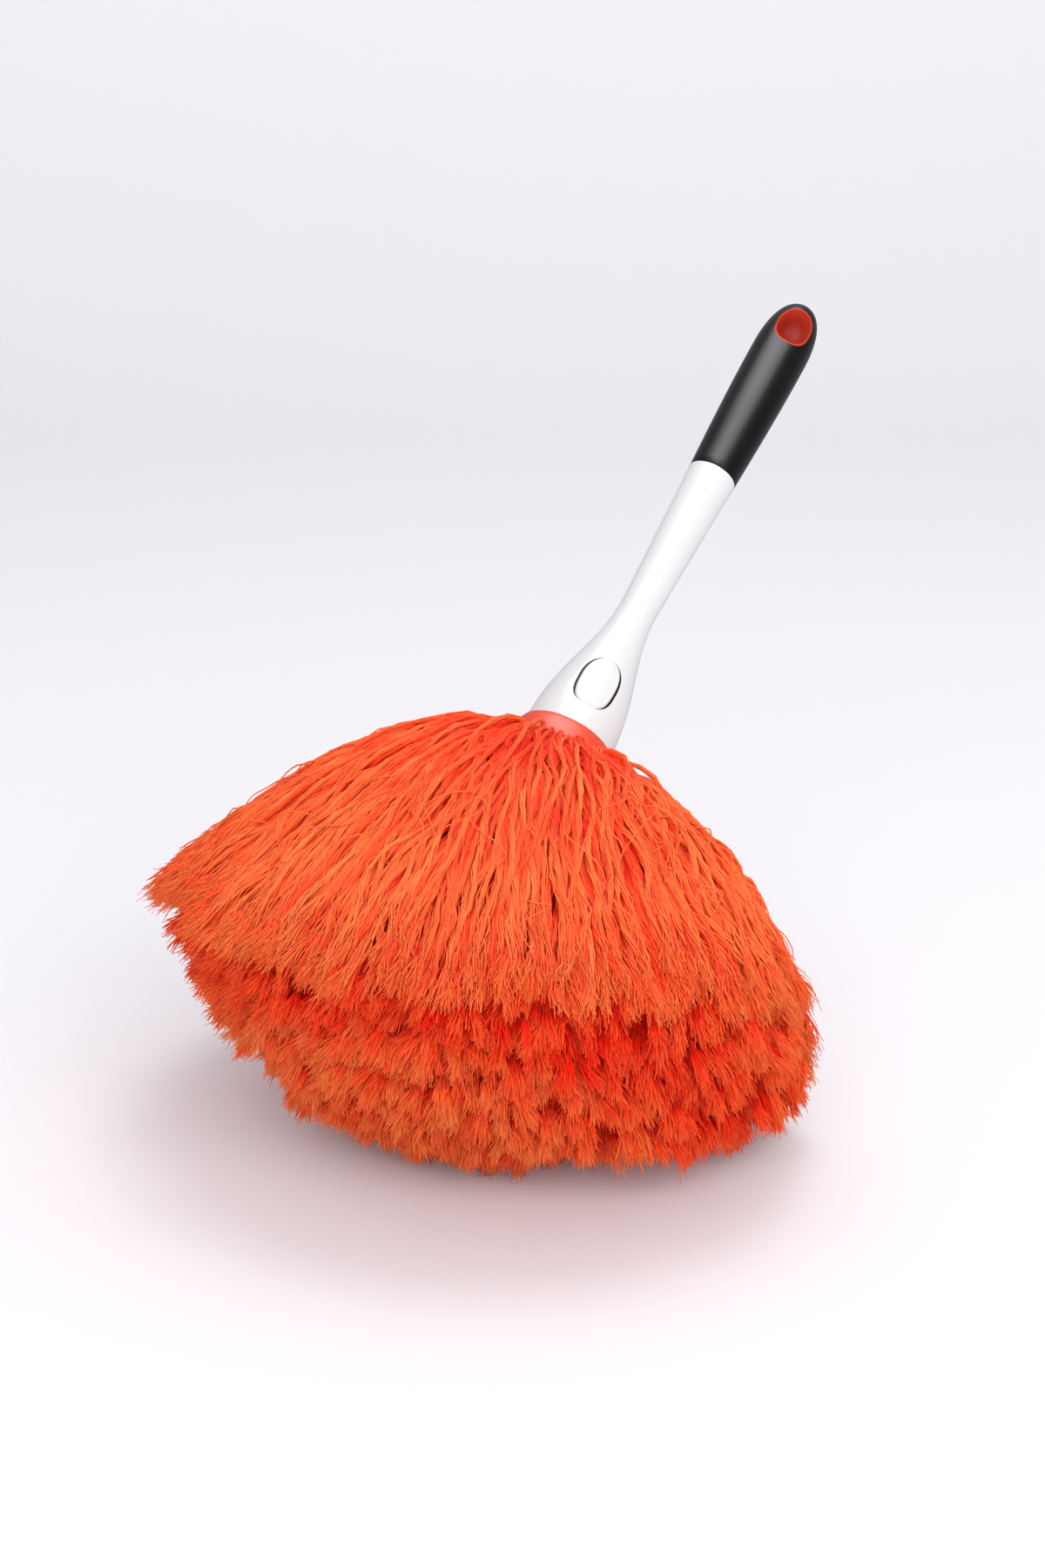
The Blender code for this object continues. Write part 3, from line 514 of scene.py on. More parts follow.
def makeGrip():
    # a sleeve with a rounded tip, cut by the recess's outline
    start, full, end, edge = (grip[name] for name in ("start", "full", "end", "edge"))
    tip, side = grip["tipSteps"], grip["sideSteps"]
    levels = [full + math.cos(math.pi / 2 * step / tip) * (end - full) for step in range(1, tip + 1)]
    levels += [full + (start + edge - full) * step / side for step in range(1, side + 1)]
    profile = [(grip["pole"], end)] + [(gripRadius(level), level) for level in levels]
    for degrees in grip["edgeTurns"]:
        turn = math.radians(degrees)
        radius = grip["startRadius"] - edge + edge * math.cos(turn)
        profile.append((radius, start + edge * (1 - math.sin(turn))))
    bore, boreEnd = grip["bore"], grip["boreEnd"]
    profile += [(bore, start), (bore, boreEnd), (grip["pole"], boreEnd)]
    turns = [2 * math.pi * step / grip["steps"] for step in range(grip["steps"])]
    rings = []
    for radius, level in profile:
        rings.append([(radius * math.cos(turn), radius * math.sin(turn), level) for turn in turns])
    points, faces = closedRings(rings)
    sleeve = placed("gripSleeve", points, faces, blackGrip, "handle", "soft_grip")

    mouth = softSquare(recess, grow=-recess["rim"] / 2)
    ends = (recess["floor"] - recess["clearance"], recess["cutEnd"])
    points, faces = closedRings([[(x, y, z) for y, z in mouth] for x in ends])
    cutter = meshObject("recessCutter", inWorld(points), faces, blackGrip)
    for item in (sleeve, cutter):
        item.data.update()
    modifier = sleeve.modifiers.new("recess", "BOOLEAN")
    modifier.object = cutter
    modifier.solver = "EXACT"
    sleeve.modifiers.move(1, 0)
    bpy.context.view_layer.update()
    cut = sleeve.evaluated_get(bpy.context.evaluated_depsgraph_get())
    shape = bpy.data.meshes.new_from_object(cut)
    sleeve.modifiers.clear()
    sleeve.data = shape
    bpy.data.objects.remove(cutter)


def makeHangLiner():
    # a dish with a thin proud lip that follows the grip's skin
    centre = recess["centre"]
    outline = softSquare(recess)
    lip = 1 - recess["rim"] / recess["halfWidth"]
    middle = (1 + lip) / 2
    soft, steep = recess["bowl"]
    dishRings = len(recess["tones"])
    layers = []
    for step in range(dishRings):
        factor = max(lip * step / (dishRings - 1), 0.01)
        hollow = 1 - (factor / lip) ** recess["steepness"]
        layers.append((factor, recess["depth"] * (soft * hollow + steep * math.sqrt(max(hollow, 0)))))
    for factor, share in ((lip + 0.01, 0.7), (middle, 1.0), (0.995, 0.6)):
        layers.append((factor, -recess["proud"] * share))
    rings = layered(outline, centre, gripRadius, layers)
    rings.append(laidOn(outline, gripRadius, 0.0001))
    below = scaledOutline(outline, centre, middle - 0.004)
    rings.append(laidOn(below, gripRadius, 0.0003))
    for flat in (below, scaledOutline(outline, centre, 0.05)):
        rings.append([(recess["floor"], y, z) for y, z in flat])
    points, faces = closedRings(rings)
    dish = placed("hangDish", points, faces, recessPlastic, "handle", "hang_liner")
    # painted shade for the dish's rings; the other points take the lip's tone
    tones = np.full(len(points), recess["lipTone"])
    tones[:dishRings * recess["steps"]] = np.repeat(recess["tones"], recess["steps"])
    addTone(dish.data, "recessPaintedShade", tones)


makeButton()
makeButtonGapShade()
makeGrip()
makeHangLiner()
print("handle pieces made")


# Yarn: one law lays out the strands, as in the solids

head = {
    "radius": 0.1835,         # strand ends lie on a ball of this radius
    "centreDepth": 0.030,
    "trim": 0.13,             # the greatest share that a yarn is shorter by
    "fanWidest": 85,
    "turnJitter": 0.03,
    "foldAbove": -15,         # yarns that start steeper than this lie over onto those beneath
    "fold": 0.42,
    "foldEase": 0.25,
    "foldLimit": 9,
    "foldLength": 0.020,
    "droop": 40,
    "droopCurve": 1.4,
    "droopLength": 0.155,
    "rightDroop": 9,          # the photograph's right side hangs a little lower
    "rootRadius": 0.0158,
    "rootStart": -0.0142,
    "rootEnd": -0.0905,
    "rootCrowding": 1.7,      # more yarn is wound close under the collar
    "domeShare": 0.20,        # share of the yarns that are rooted in the domed end
    "domeDepth": 0.0165,
    "domeRadius": 0.007,
    "collarLift": 24,         # the first yarns press up against the collar's edge
    "collarLiftShare": 0.16,
    "collarLiftLength": 0.013,
    "lowBand": (0.1, 0.4),    # where the right side's fullness changes: start and width, downwards
    "lowestBand": (0.45, 0.30),
    "hemFan": 76,             # the hem where the long yarns end and the tufts begin
    "hemWidth": 4,
    "hemDip": 0.05,
    "hemFade": 0.5,
    # painted shade: the tufts just below the hem are darkened, where the long yarns overhang them
    "hemShade": 0.5,
    "hemShadeBelow": 10,
    "hemShadeWidth": 14,
    "pathStep": 0.0015,
    "pathSteps": 150,
    "seed": 11,
}
topYarn = {
    "count": 1500,
    "points": 20,
    "start": 0.0,
    "lock": 8,                # yarns to a lock
    "locking": 0.34,
    "fuzz": 5,                # loose fibres and brush fibres to a yarn
    "brush": 9,
    "ownTrim": 0.4,
    "widening": (0.040, -0.130, 0.080, 0),
    "hem": False,
    "firstTier": 1,
    "tierEdges": (0, 0.5, 1.0),
}
tuftYarn = {
    "count": 2300,
    "points": 7,
    "start": 0.50,            # only the outer part of a tuft's line is made
    "lock": 4,
    "locking": 0.45,
    "fuzz": 2,
    "brush": 28,
    "ownTrim": 0.5,
    "widening": (0.030, 0.045, 0.120, -0.16),
    "hem": True,
    "firstTier": 3,
    "tierEdges": (0, 0.28, 0.52, 0.76, 1.0),
}
yarn = {
    "topShare": 0.1,          # share of the fan, from the collar down, with the long upper yarns
    "tuftStart": 0.9,         # tufts begin at this share of it
    "waves": ((1.2, 0.0045), (2.6, 0.0022), (5.5, 0.0012)),     # cycles and size of each
    "waveLift": 0.6,
    "waveGrowth": 0.25,
    "lockPart": (0.1, 0.7),
    "endPart": (0.8, 0.2),    # where a lock and a yarn open again: start and width on their length
    "lockOpening": 0.4,
    "tone": 0.14,
    "toneLimit": 0.3,
    "fiberTone": 0.05,
    "triangleLimit": 190000,
}
core = {
    "strands": 3,
    "radius": 0.00075,
    "spin": 0.0007,
    "opening": 1.2,
    "turn": 0.030,
    "ends": (0.93, 0.985),
    "taper": 0.75,
    "taperPart": (0.86, 0.14),
    "tones": (0.0, 0.0),      # added at the root and at the tip
}
fuzz = {
    "radius": 0.00038,
    "turn": 0.055,
    "hubSize": 0.0009,
    "middleSize": 0.0014,
    "tipSize": 0.0031,
    "openPart": (0.66, 0.34),
    "uneven": 0.035,
    "kink": 0.3,
    "taper": 0.6,
    "taperPart": (0.75, 0.25),
    "tones": (0.06, 0.06),
}
brush = {
    "length": 0.018,
    "points": 4,
    "fiberRadius": 0.00042,
    "rootSize": 0.0014,
    "tipSize": 0.0036,
    "flare": 0.8,
    "uneven": (-0.22, 0.06),
    "rounding": 0.30,         # outer fibres end this share of the length earlier
    "bend": 0.0014,
    "taper": 0.6,
    # painted shade: darker at the brush's root, lighter at its tip
    "tones": (-0.42, 0.16),
}
strays = {
    "count": 120,
    "points": 14,
    "radius": 0.00050,
    "begins": (0.35, 0.75),
    "length": (0.12, 0.30),
    "lift": (0.001, 0.010),
    "leastLift": 0.002,
    "cycles": (0.5, 1.6),
    "sway": 0.006,
    "taper": 0.5,
    "tone": 0.7,
}
inner = {
    "fan": 73,                # the filling under the top yarns follows a yarn of this fan angle
    "lastFans": (4, 3, 24),   # from this far inside it, to this angle, in this many rings
    "rows": 40,
    "depth": 0.016,
    "turns": 480,
    "ridge": 0.0030,
    "ridges": 37,
    "wander": 0.25,
    "fullSpacing": 0.002,
    # painted shade: a dark tone for the filling, lighter on the ridges' crests and darker between them
    "tone": 0.30,
    "ridgePaintedShade": 0.14,
}
# painted shade: the light reaching each place in the head sets the yarn's tone, from inner to outer
shade = {
    "cell": 0.003,
    "dimming": 0.9,           # what one yarn takes of the light through its cell
    "fromBelow": 0.45,
    "full": 0.40,
    "inner": -0.05,
    "outer": 0.72,
}
floorGaps = {
    "line": 0.0012,
    "filling": 0.0006,
    "fiber": 0.0003,
}
randomizer = np.random.default_rng(head["seed"])
headCentre = np.array(rimCentre) - head["centreDepth"] * axes[2]
widestCosine = math.cos(math.radians(head["fanWidest"]))
goldenTurn = math.pi * (3 - math.sqrt(5))


def rays(fan, turn):
    # each yarn's way round the handle's line, and its ray at the fan's angle
    ring = np.cos(turn)[:, None] * axes[0] + np.sin(turn)[:, None] * axes[1]
    return ring, np.sin(fan)[:, None] * ring - np.cos(fan)[:, None] * axes[2]


def yarnRoots(spread):
    # roots run down the wound tapes and, for the last fifth, over the domed end
    tapeShare = 1 - head["domeShare"]
    onTape = 1 - eased(spread, tapeShare, head["domeShare"])
    share = np.minimum(spread / tapeShare, 1) ** head["rootCrowding"]
    level = mixed(head["rootStart"], head["rootEnd"], share) - head["domeDepth"] * (1 - onTape)
    return mixed(head["domeRadius"], head["rootRadius"], onTape), level


def centrelines(fan, turn, spread, reach, group, points):
    # a yarn leaves the tape along its own ray, lies over onto those beneath it and droops; it ends
    # on the head's ball or at the floor
    ring, aim = rays(fan, turn)
    radius, height = yarnRoots(spread)
    place = np.array(rimCentre) + radius[:, None] * ring + height[:, None] * axes[2]
    level = aim * [1, 1, 0]
    level /= np.linalg.norm(level, axis=1)[:, None]
    rise = np.arcsin(aim[:, 2])
    above = math.radians(head["foldAbove"])
    limit = math.radians(head["foldLimit"]) - above
    folded = np.maximum(rise - above, 0) * head["fold"]
    folded = limit * np.tanh(folded / limit * (1 + head["foldEase"] * folded / limit))
    laid = np.where(rise < above, rise, above + folded)
    lift = np.radians(head["collarLift"]) * np.clip(1 - spread / head["collarLiftShare"], 0, 1)
    droop = np.radians(head["droop"] + head["rightDroop"] * np.maximum(aim[:, 0], 0))
    step = head["pathStep"]
    path = [place]
    for count in range(head["pathSteps"]):
        run = count * step
        lean = laid + (rise - laid) * math.exp(-run / head["foldLength"])
        fallen = 1 - (1 - min(run / head["droopLength"], 1)) ** head["droopCurve"]
        slope = lean - droop * np.cos(lean) * fallen
        way = level * np.cos(slope)[:, None] + np.sin(slope)[:, None] * [0, 0, 1]
        way = way + np.tan(lift * math.exp(-run / head["collarLiftLength"]))[:, None] * axes[2]
        path.append(path[-1] + step * way)
    path = np.array(path)
    outside = np.linalg.norm(path - headCentre, axis=2) > reach
    outside |= path[:, :, 2] < floorGaps["line"]
    outside[-1] = True
    length = outside.argmax(axis=0).astype(float)
    share = group["start"] + (1 - group["start"]) * np.linspace(0, 1, points)
    where = share[None, :] * length[:, None]
    low = np.minimum(where.astype(int), len(path) - 2)
    part = (where - low)[:, :, None]
    index = np.arange(len(fan))[:, None]
    return path[low, index] * (1 - part) + path[low + 1, index] * part, share


def widened(reach, aim, sides):
    # the head is a little fuller on its left; on its right the fullness changes downwards, from high
    # through low to lowest
    left, high, low, lowest = sides
    right = mixed(high, low, eased(-aim[:, 2], *head["lowBand"]))
    right = mixed(right, lowest, eased(-aim[:, 2], *head["lowestBand"]))
    return reach * (1 + np.where(aim[:, 0] < 0, left, right) * np.abs(aim[:, 0]))


def strandFrames(lines):
    tangent = np.gradient(lines, axis=-2)
    tangent /= np.linalg.norm(tangent, axis=-1)[..., None] + 1e-12
    side = np.cross(tangent, [0.0, 0.0, 1.0])
    side /= np.linalg.norm(side, axis=-1)[..., None] + 1e-9
    return side, np.cross(side, tangent)


def wavy(lines, share, leaders, nearest, locking):
    # waves of three lengths, then a pull towards the line that leads the yarn's lock
    count = len(lines)
    side, lift = strandFrames(lines)
    grow = eased(share, 0, yarn["waveGrowth"])
    for cycles, size in yarn["waves"]:
        for direction, scale in ((side, 1.0), (lift, yarn["waveLift"])):
            phase = randomizer.uniform(0, 2 * np.pi, (count, 1))
            amount = randomizer.normal(0, size * scale, (count, 1))
            swing = np.sin(phase + 2 * np.pi * cycles * share) * grow
            lines = lines + direction * (amount * swing)[:, :, None]
    pull = locking * eased(share, *yarn["lockPart"])
    pull = pull * (1 - yarn["lockOpening"] * eased(share, *yarn["endPart"]))
    return lines + (lines[leaders[nearest]] - lines) * pull[None, :, None]


def resampled(lines, begins, ends, points):
    # lines cut to a range of their run, which may pass their ends: one range for each fibre
    last = lines.shape[1] - 1
    run = np.linspace(0, 1, points)
    place = (begins[:, :, None] + (ends - begins)[:, :, None] * run) * last
    low = np.clip(place.astype(int), 0, last - 1)
    part = (place - low)[..., None]
    index = np.arange(len(lines))[:, None, None]
    return lines[index, low] * (1 - part) + lines[index, low + 1] * part


def threeSided(body, thick, spot):
    # closed rings of three points round each fibre's line
    side, lift = strandFrames(body)
    rings = []
    for corner in range(3):
        angle = 2 * np.pi * corner / 3 + spot
        across = side * (np.cos(angle) * thick)[..., None] + lift * (np.sin(angle) * thick)[..., None]
        rings.append(body + across)
    return np.stack(rings, axis=3).reshape(-1, body.shape[2], 3, 3)


def besideLine(lines, angle, size):
    # the places at that angle round each line and that far out
    side, lift = strandFrames(lines)
    return lines + side * (np.cos(angle) * size)[..., None] + lift * (np.sin(angle) * size)[..., None]


def twisted(lines, spot, out, turn):
    # lines that wind round their yarn, once in each length of turn
    length = np.linalg.norm(np.diff(lines, axis=2), axis=3)
    distance = np.concatenate([np.zeros((*length.shape[:2], 1)), np.cumsum(length, axis=2)], axis=2)
    return besideLine(lines, spot + distance * 2 * np.pi / turn, out)


def coreTubes(lines, share):
    # the yarn itself: strands laid up with a slow twist
    total, points, _ = lines.shape
    count = core["strands"]
    apart = np.arange(count)[None, :, None] * 2 * np.pi / count
    spot = randomizer.uniform(0, 2 * np.pi, (total, 1, 1)) + apart
    ends = randomizer.uniform(*core["ends"], (total, count))
    lines = resampled(lines, np.zeros_like(ends), ends, points)
    out = core["spin"] * (1 + core["opening"] * eased(share, *yarn["endPart"]))
    thick = core["radius"] * (1 - core["taper"] * eased(share, *core["taperPart"]))
    return threeSided(twisted(lines, spot, out, core["turn"]), thick, spot)


def fuzzTubes(lines, share, count):
    # loose fibres that wander round the yarn and open at its end
    total, points, _ = lines.shape
    spot = randomizer.uniform(0, 2 * np.pi, (total, count, 1))
    ends = 1 + fuzz["uneven"] * np.clip(randomizer.normal(-0.4, 0.8, (total, count)), -2.0, 0.4)
    lines = resampled(lines, np.zeros_like(ends), ends, points)
    size = mixed(fuzz["hubSize"], fuzz["middleSize"], eased(share, 0, 0.5))
    size = size + (fuzz["tipSize"] - fuzz["middleSize"]) * eased(share, *fuzz["openPart"])
    depth = np.sqrt(randomizer.uniform(0.25, 1.0, (total, count, 1)))
    kink = 1 + fuzz["kink"] * np.sin(9 * share[None, None, :] + 7 * spot)
    thick = fuzz["radius"] * (1 - fuzz["taper"] * eased(share, *fuzz["taperPart"]))
    return threeSided(twisted(lines, spot, size * depth * kink, fuzz["turn"]), thick, spot)


def brushTubes(lines, count):
    # a yarn's cut end, unravelled into a small brush with a rounded tip
    total = len(lines)
    length = np.linalg.norm(np.diff(lines, axis=1), axis=2).sum(axis=1)[:, None]
    spot = randomizer.uniform(0, 2 * np.pi, (total, count, 1))
    depth = np.sqrt(randomizer.uniform(0.0, 1.0, (total, count, 1)))
    reach = brush["length"] / length
    uneven = randomizer.uniform(*brush["uneven"], (total, count))
    ends = 1 + reach * (uneven - brush["rounding"] * depth[..., 0] ** 2)
    begins = np.broadcast_to(np.clip(1 - reach, 0, 1), ends.shape)
    lines = resampled(lines, begins, ends, brush["points"])
    run = np.linspace(0, 1, brush["points"])
    out = depth * mixed(brush["rootSize"], brush["tipSize"], run ** brush["flare"])
    body = besideLine(lines, spot, out)
    bend = randomizer.normal(0, brush["bend"], (total, count, 1, 3)) * (run ** 2)[None, None, :, None]
    thick = brush["fiberRadius"] * (1 - brush["taper"] * run ** 2)
    return threeSided(body + bend, thick, spot)


def strayTubes(lines):
    # single fibres that have come loose from the upper yarns and curl over them
    count = strays["count"]
    chosen = randomizer.choice(len(lines), count, replace=False)
    begins = randomizer.uniform(*strays["begins"], (count, 1))
    ends = np.minimum(begins + randomizer.uniform(*strays["length"], (count, 1)), 1.0)
    some = resampled(lines[chosen], begins, ends, strays["points"])
    run = np.linspace(0, 1, strays["points"])
    side, lift = strandFrames(some)
    arch = np.sin(np.pi * run) * randomizer.uniform(*strays["lift"], (count, 1, 1))
    cycles = randomizer.uniform(*strays["cycles"], (count, 1, 1))
    sway = np.sin(2 * np.pi * run * cycles + begins[..., None] * 40)
    sway = sway * randomizer.normal(0, strays["sway"], (count, 1, 1))
    body = some + lift * (arch + strays["leastLift"])[..., None] + side * sway[..., None]
    return threeSided(body, strays["radius"] * (1 - strays["taper"] * run), np.zeros((count, 1, 1)))


def lightField(groups):
    # how open each place in the head is: yarn dims the light that passes its cell, and the light
    # comes along 26 directions
    dense = []
    for lines in groups:
        for part in np.linspace(0, 1, 3, endpoint=False):
            dense.append((lines[:, :-1] * (1 - part) + lines[:, 1:] * part).reshape(-1, 3))
    dense = np.concatenate(dense)
    low = dense.min(axis=0) - 3 * shade["cell"]
    size = np.ceil((dense.max(axis=0) - low) / shade["cell"]).astype(int) + 3
    cell = ((dense - low) / shade["cell"]).astype(int)
    amount = np.bincount(np.ravel_multi_index(cell.T, size), minlength=size.prod()).reshape(size)
    clear = np.exp(-shade["dimming"] * amount)
    total = np.zeros(size)
    weights = 0.0
    for step in np.ndindex(3, 3, 3):
        way = np.array(step) - 1
        if not way.any():
            continue
        weight = shade["fromBelow"] if way[2] > 0 else 1.0
        main = int(np.abs(way).argmax())
        seen = np.moveaxis(np.ones(size), main, 0)
        through = np.moveaxis(clear, main, 0)
        shifts = np.delete(way, main)
        order = range(1, len(seen)) if way[main] > 0 else range(len(seen) - 2, -1, -1)
        for place in order:
            before = seen[place - way[main]] * through[place - way[main]]
            seen[place] = np.roll(before, shifts, axis=(0, 1))
        total += weight * np.moveaxis(seen, 0, main)
        weights += weight
    return total / weights, low


def lightAt(field, low, points):
    # the field between its cells' middles
    place = (points - low) / shade["cell"] - 0.5
    base = np.clip(place.astype(int), 0, np.array(field.shape) - 2)
    part = np.clip(place - base, 0, 1)
    found = np.zeros(points.shape[:-1])
    for step in np.ndindex(2, 2, 2):
        share = np.where(step, part, 1 - part).prod(axis=-1)
        index = base + step
        found += share * field[index[..., 0], index[..., 1], index[..., 2]]
    return found


def yarnPiece(name, tubes, tones, node):
    # one mesh of many three-sided tubes; what would pass the floor lies flat on it. Tones, partly painted
    # shade, has a value for each ring of each tube
    coordinates = []
    quads = []
    caps = []
    base = 0
    for group in tubes:
        total, points = group.shape[:2]
        first = base + np.arange(total)[:, None, None] * points * 3
        first = first + np.arange(points - 1)[None, :, None] * 3
        near, after = first + np.arange(3), first + (np.arange(3) + 1) % 3
        quads.append(np.stack([near, after, after + 3, near + 3], axis=-1).reshape(-1, 4))
        root = base + np.arange(total)[:, None] * points * 3
        caps += [root + [2, 1, 0], root + (points - 1) * 3 + [0, 1, 2]]
        coordinates.append(group.reshape(-1, 3))
        base += total * points * 3
    coordinates = np.concatenate(coordinates)
    coordinates[:, 2] = np.maximum(coordinates[:, 2], floorGaps["fiber"])
    quads = np.concatenate(quads)
    caps = np.concatenate(caps)
    loops = np.concatenate([quads.ravel(), caps.ravel()]).astype(np.int32)
    sizes = np.concatenate([np.full(len(quads), 4), np.full(len(caps), 3)])
    starts = np.concatenate([[0], np.cumsum(sizes)[:-1]]).astype(np.int32)
    mesh = bpy.data.meshes.new(name)
    mesh.vertices.add(len(coordinates))
    mesh.vertices.foreach_set("co", coordinates.astype(np.float32).ravel())
    mesh.loops.add(len(loops))
    mesh.loops.foreach_set("vertex_index", loops)
    mesh.polygons.add(len(sizes))
    mesh.polygons.foreach_set("loop_start", starts)
    mesh.polygons.foreach_set("use_smooth", np.ones(len(sizes), bool))
    mesh.update(calc_edges=True)
    addTone(mesh, "yarnToneAndPaintedShade", np.repeat(tones, 3))
    mesh.materials.append(microfiber)
    item = sceneObject(name, mesh)
    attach(item, "head")
    if node:
        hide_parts(node)
    return len(quads) * 2 + len(caps)


def yarnPieces(name, lines, share, own, group, field, low, node):
    # splits one tier into meshes under the size limit
    triangles = 0
    long = (core["strands"] + group["fuzz"]) * lines.shape[1]
    each = 6 * (long + group["brush"] * brush["points"])
    parts = math.ceil(len(lines) * each / yarn["triangleLimit"])
    for part in range(parts):
        some = slice(part * len(lines) // parts, (part + 1) * len(lines) // parts)
        kinds = (
            (core, core["strands"], coreTubes(lines[some], share)),
            (fuzz, group["fuzz"], fuzzTubes(lines[some], share, group["fuzz"])),
            (brush, group["brush"], brushTubes(lines[some], group["brush"])),
        )
        tones = []
        for kind, count, tubes in kinds:
            # painted shade: the tone follows the light reaching each ring, plus its kind's root-to-tip
            # shade
            light = np.clip(lightAt(field, low, tubes.mean(axis=2)) / shade["full"], 0, 1)
            tone = mixed(shade["inner"], shade["outer"], light)
            tone = tone + np.linspace(*kind["tones"], tubes.shape[1])
            fiberOwn = randomizer.normal(0, yarn["fiberTone"], (len(tubes), 1))
            tones.append((tone + np.repeat(own[some], count)[:, None] + fiberOwn).ravel())
        meshTubes = [tubes for _, _, tubes in kinds]
        triangles += yarnPiece(f"{name}_{part + 1}", meshTubes, np.concatenate(tones), node)
    return triangles


def yarnFilling():
    # the yarn under the outermost: one ridged skin that closes the view into the head
    turns = inner["turns"]
    turn = np.arange(turns) * 2 * math.pi / turns
    inside, lastFan, rings = inner["lastFans"]
    fans = np.concatenate([[inner["fan"]], np.linspace(inner["fan"] - inside, lastFan, rings)])
    skin = []
    for number, fan in enumerate(np.radians(fans)):
        angle = np.full(turns, fan)
        aim = rays(angle, turn)[1]
        spread = (np.cos(angle) - widestCosine) / (1 - widestCosine)
        reach = np.full(turns, head["radius"] * (1 - head["trim"] * 0.5) - inner["depth"])
        reach = np.minimum(*(widened(reach, aim, group["widening"]) for group in (topYarn, tuftYarn)))
        lines = centrelines(angle, turn, spread, reach, topYarn, inner["rows"])[0]
        if number == 0:
            skin += [lines[:, row] for row in range(inner["rows"])]
        else:
            skin.append(lines[:, -1])
    skin = np.array(skin)
    downward = np.gradient(skin, axis=0)
    around = np.roll(skin, -1, axis=1) - np.roll(skin, 1, axis=1)
    normal = np.cross(around, downward)
    normal /= np.linalg.norm(normal, axis=2)[..., None] + 1e-9
    spacing = np.linalg.norm(around, axis=2).mean(axis=1) / 2
    ridges = np.zeros(skin.shape[:2])
    for octave in range(3):
        wander = np.cumsum(randomizer.normal(0, inner["wander"], (len(skin), 1)), axis=0)
        phase = turn[None, :] * (2 ** octave * inner["ridges"]) + wander + randomizer.uniform(0, 6)
        ridges += np.sin(phase + 2 * np.sin(turn * 5 + octave)) / (octave + 1.5)
    strength = inner["ridge"] * np.clip(spacing / inner["fullSpacing"], 0, 1)
    skin = skin + normal * (ridges * strength[:, None])[..., None]
    skin[..., 2] = np.maximum(skin[..., 2], floorGaps["filling"])
    item = meshObject("yarnFilling", skin.reshape(-1, 3), cappedFaces(len(skin), turns), microfiber)
    # painted shade: the filling's tone, lighter on ridge crests and darker in the troughs
    addTone(item.data, "yarnToneAndPaintedShade", inner["tone"] + inner["ridgePaintedShade"] * ridges.ravel())
    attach(item, "head")


def layOut(group, first, last):
    # lines between two shares of the fan, with each yarn's own tone and, under the hem, painted shade
    count = group["count"]
    order = (np.arange(count) + 0.5) / count
    spread = first + (last - first) * order
    fan = np.arccos(np.clip(widestCosine + (1 - widestCosine) * spread, -1, 1))
    turn = (np.arange(count) * goldenTurn) % (2 * math.pi)
    turn = turn + randomizer.normal(0, head["turnJitter"], count)
    aim = rays(fan, turn)[1]

    # yarns near each other form locks that end together
    leaders = randomizer.choice(count, count // group["lock"], replace=False)
    nearest = (aim @ aim[leaders].T).argmax(axis=1)
    lockTrim = randomizer.uniform(0, 1, len(leaders))[nearest]
    ownTrim = randomizer.uniform(0, 1, count) ** 1.5
    trim = (1 - group["ownTrim"]) * lockTrim + group["ownTrim"] * ownTrim
    reach = head["radius"] * (1 - head["trim"] * trim)
    reach = widened(reach, aim, group["widening"])
    beyondHem = np.degrees(fan) - head["hemFan"]
    if group["hem"]:
        dip = np.exp(-(beyondHem / head["hemWidth"]) ** 2)
        dip = dip * (1 - eased(aim[:, 0], 0, head["hemFade"]))
        reach = reach * (1 - head["hemDip"] * dip)
    lines, share = centrelines(fan, turn, spread, reach, group, group["points"])
    lines = wavy(lines, share, leaders, nearest, group["locking"])
    own = np.clip(randomizer.normal(0.0, yarn["tone"], count), -yarn["toneLimit"], yarn["toneLimit"])
    if group["hem"]:
        # painted shade under the hem, where the long yarns overhang the tufts
        shaded = np.exp(-((beyondHem + head["hemShadeBelow"]) / head["hemShadeWidth"]) ** 2)
        own = own - head["hemShade"] * shaded
    return order, lines, share, own


def makeYarn():
    top = layOut(topYarn, 0.0, yarn["topShare"])
    tufts = layOut(tuftYarn, yarn["topShare"] * yarn["tuftStart"], 1.0)
    field, low = lightField([top[1], tufts[1]])
    triangles = 0
    for group, (order, lines, share, own) in ((topYarn, top), (tuftYarn, tufts)):
        edges = group["tierEdges"]
        for number in range(len(edges) - 1):
            chosen = np.where((order >= edges[number]) & (order < edges[number + 1]))[0]
            tier = group["firstTier"] + number
            node = f"yarn_tier_{tier}" if tier < 6 else "yarn_end_tier"
            name = f"yarnTier{tier}" if tier < 6 else "yarnEndTier"
            triangles += yarnPieces(name, lines[chosen], share, own[chosen], group, field, low, node)
    yarnFilling()
    loose = strayTubes(top[1])
    tones = np.full(loose.shape[0] * loose.shape[1], strays["tone"])
    triangles += yarnPiece("looseFibers", [loose], tones, None)
    print("yarn triangles", triangles)


makeYarn()


# The studio: paper sweep, lights and camera

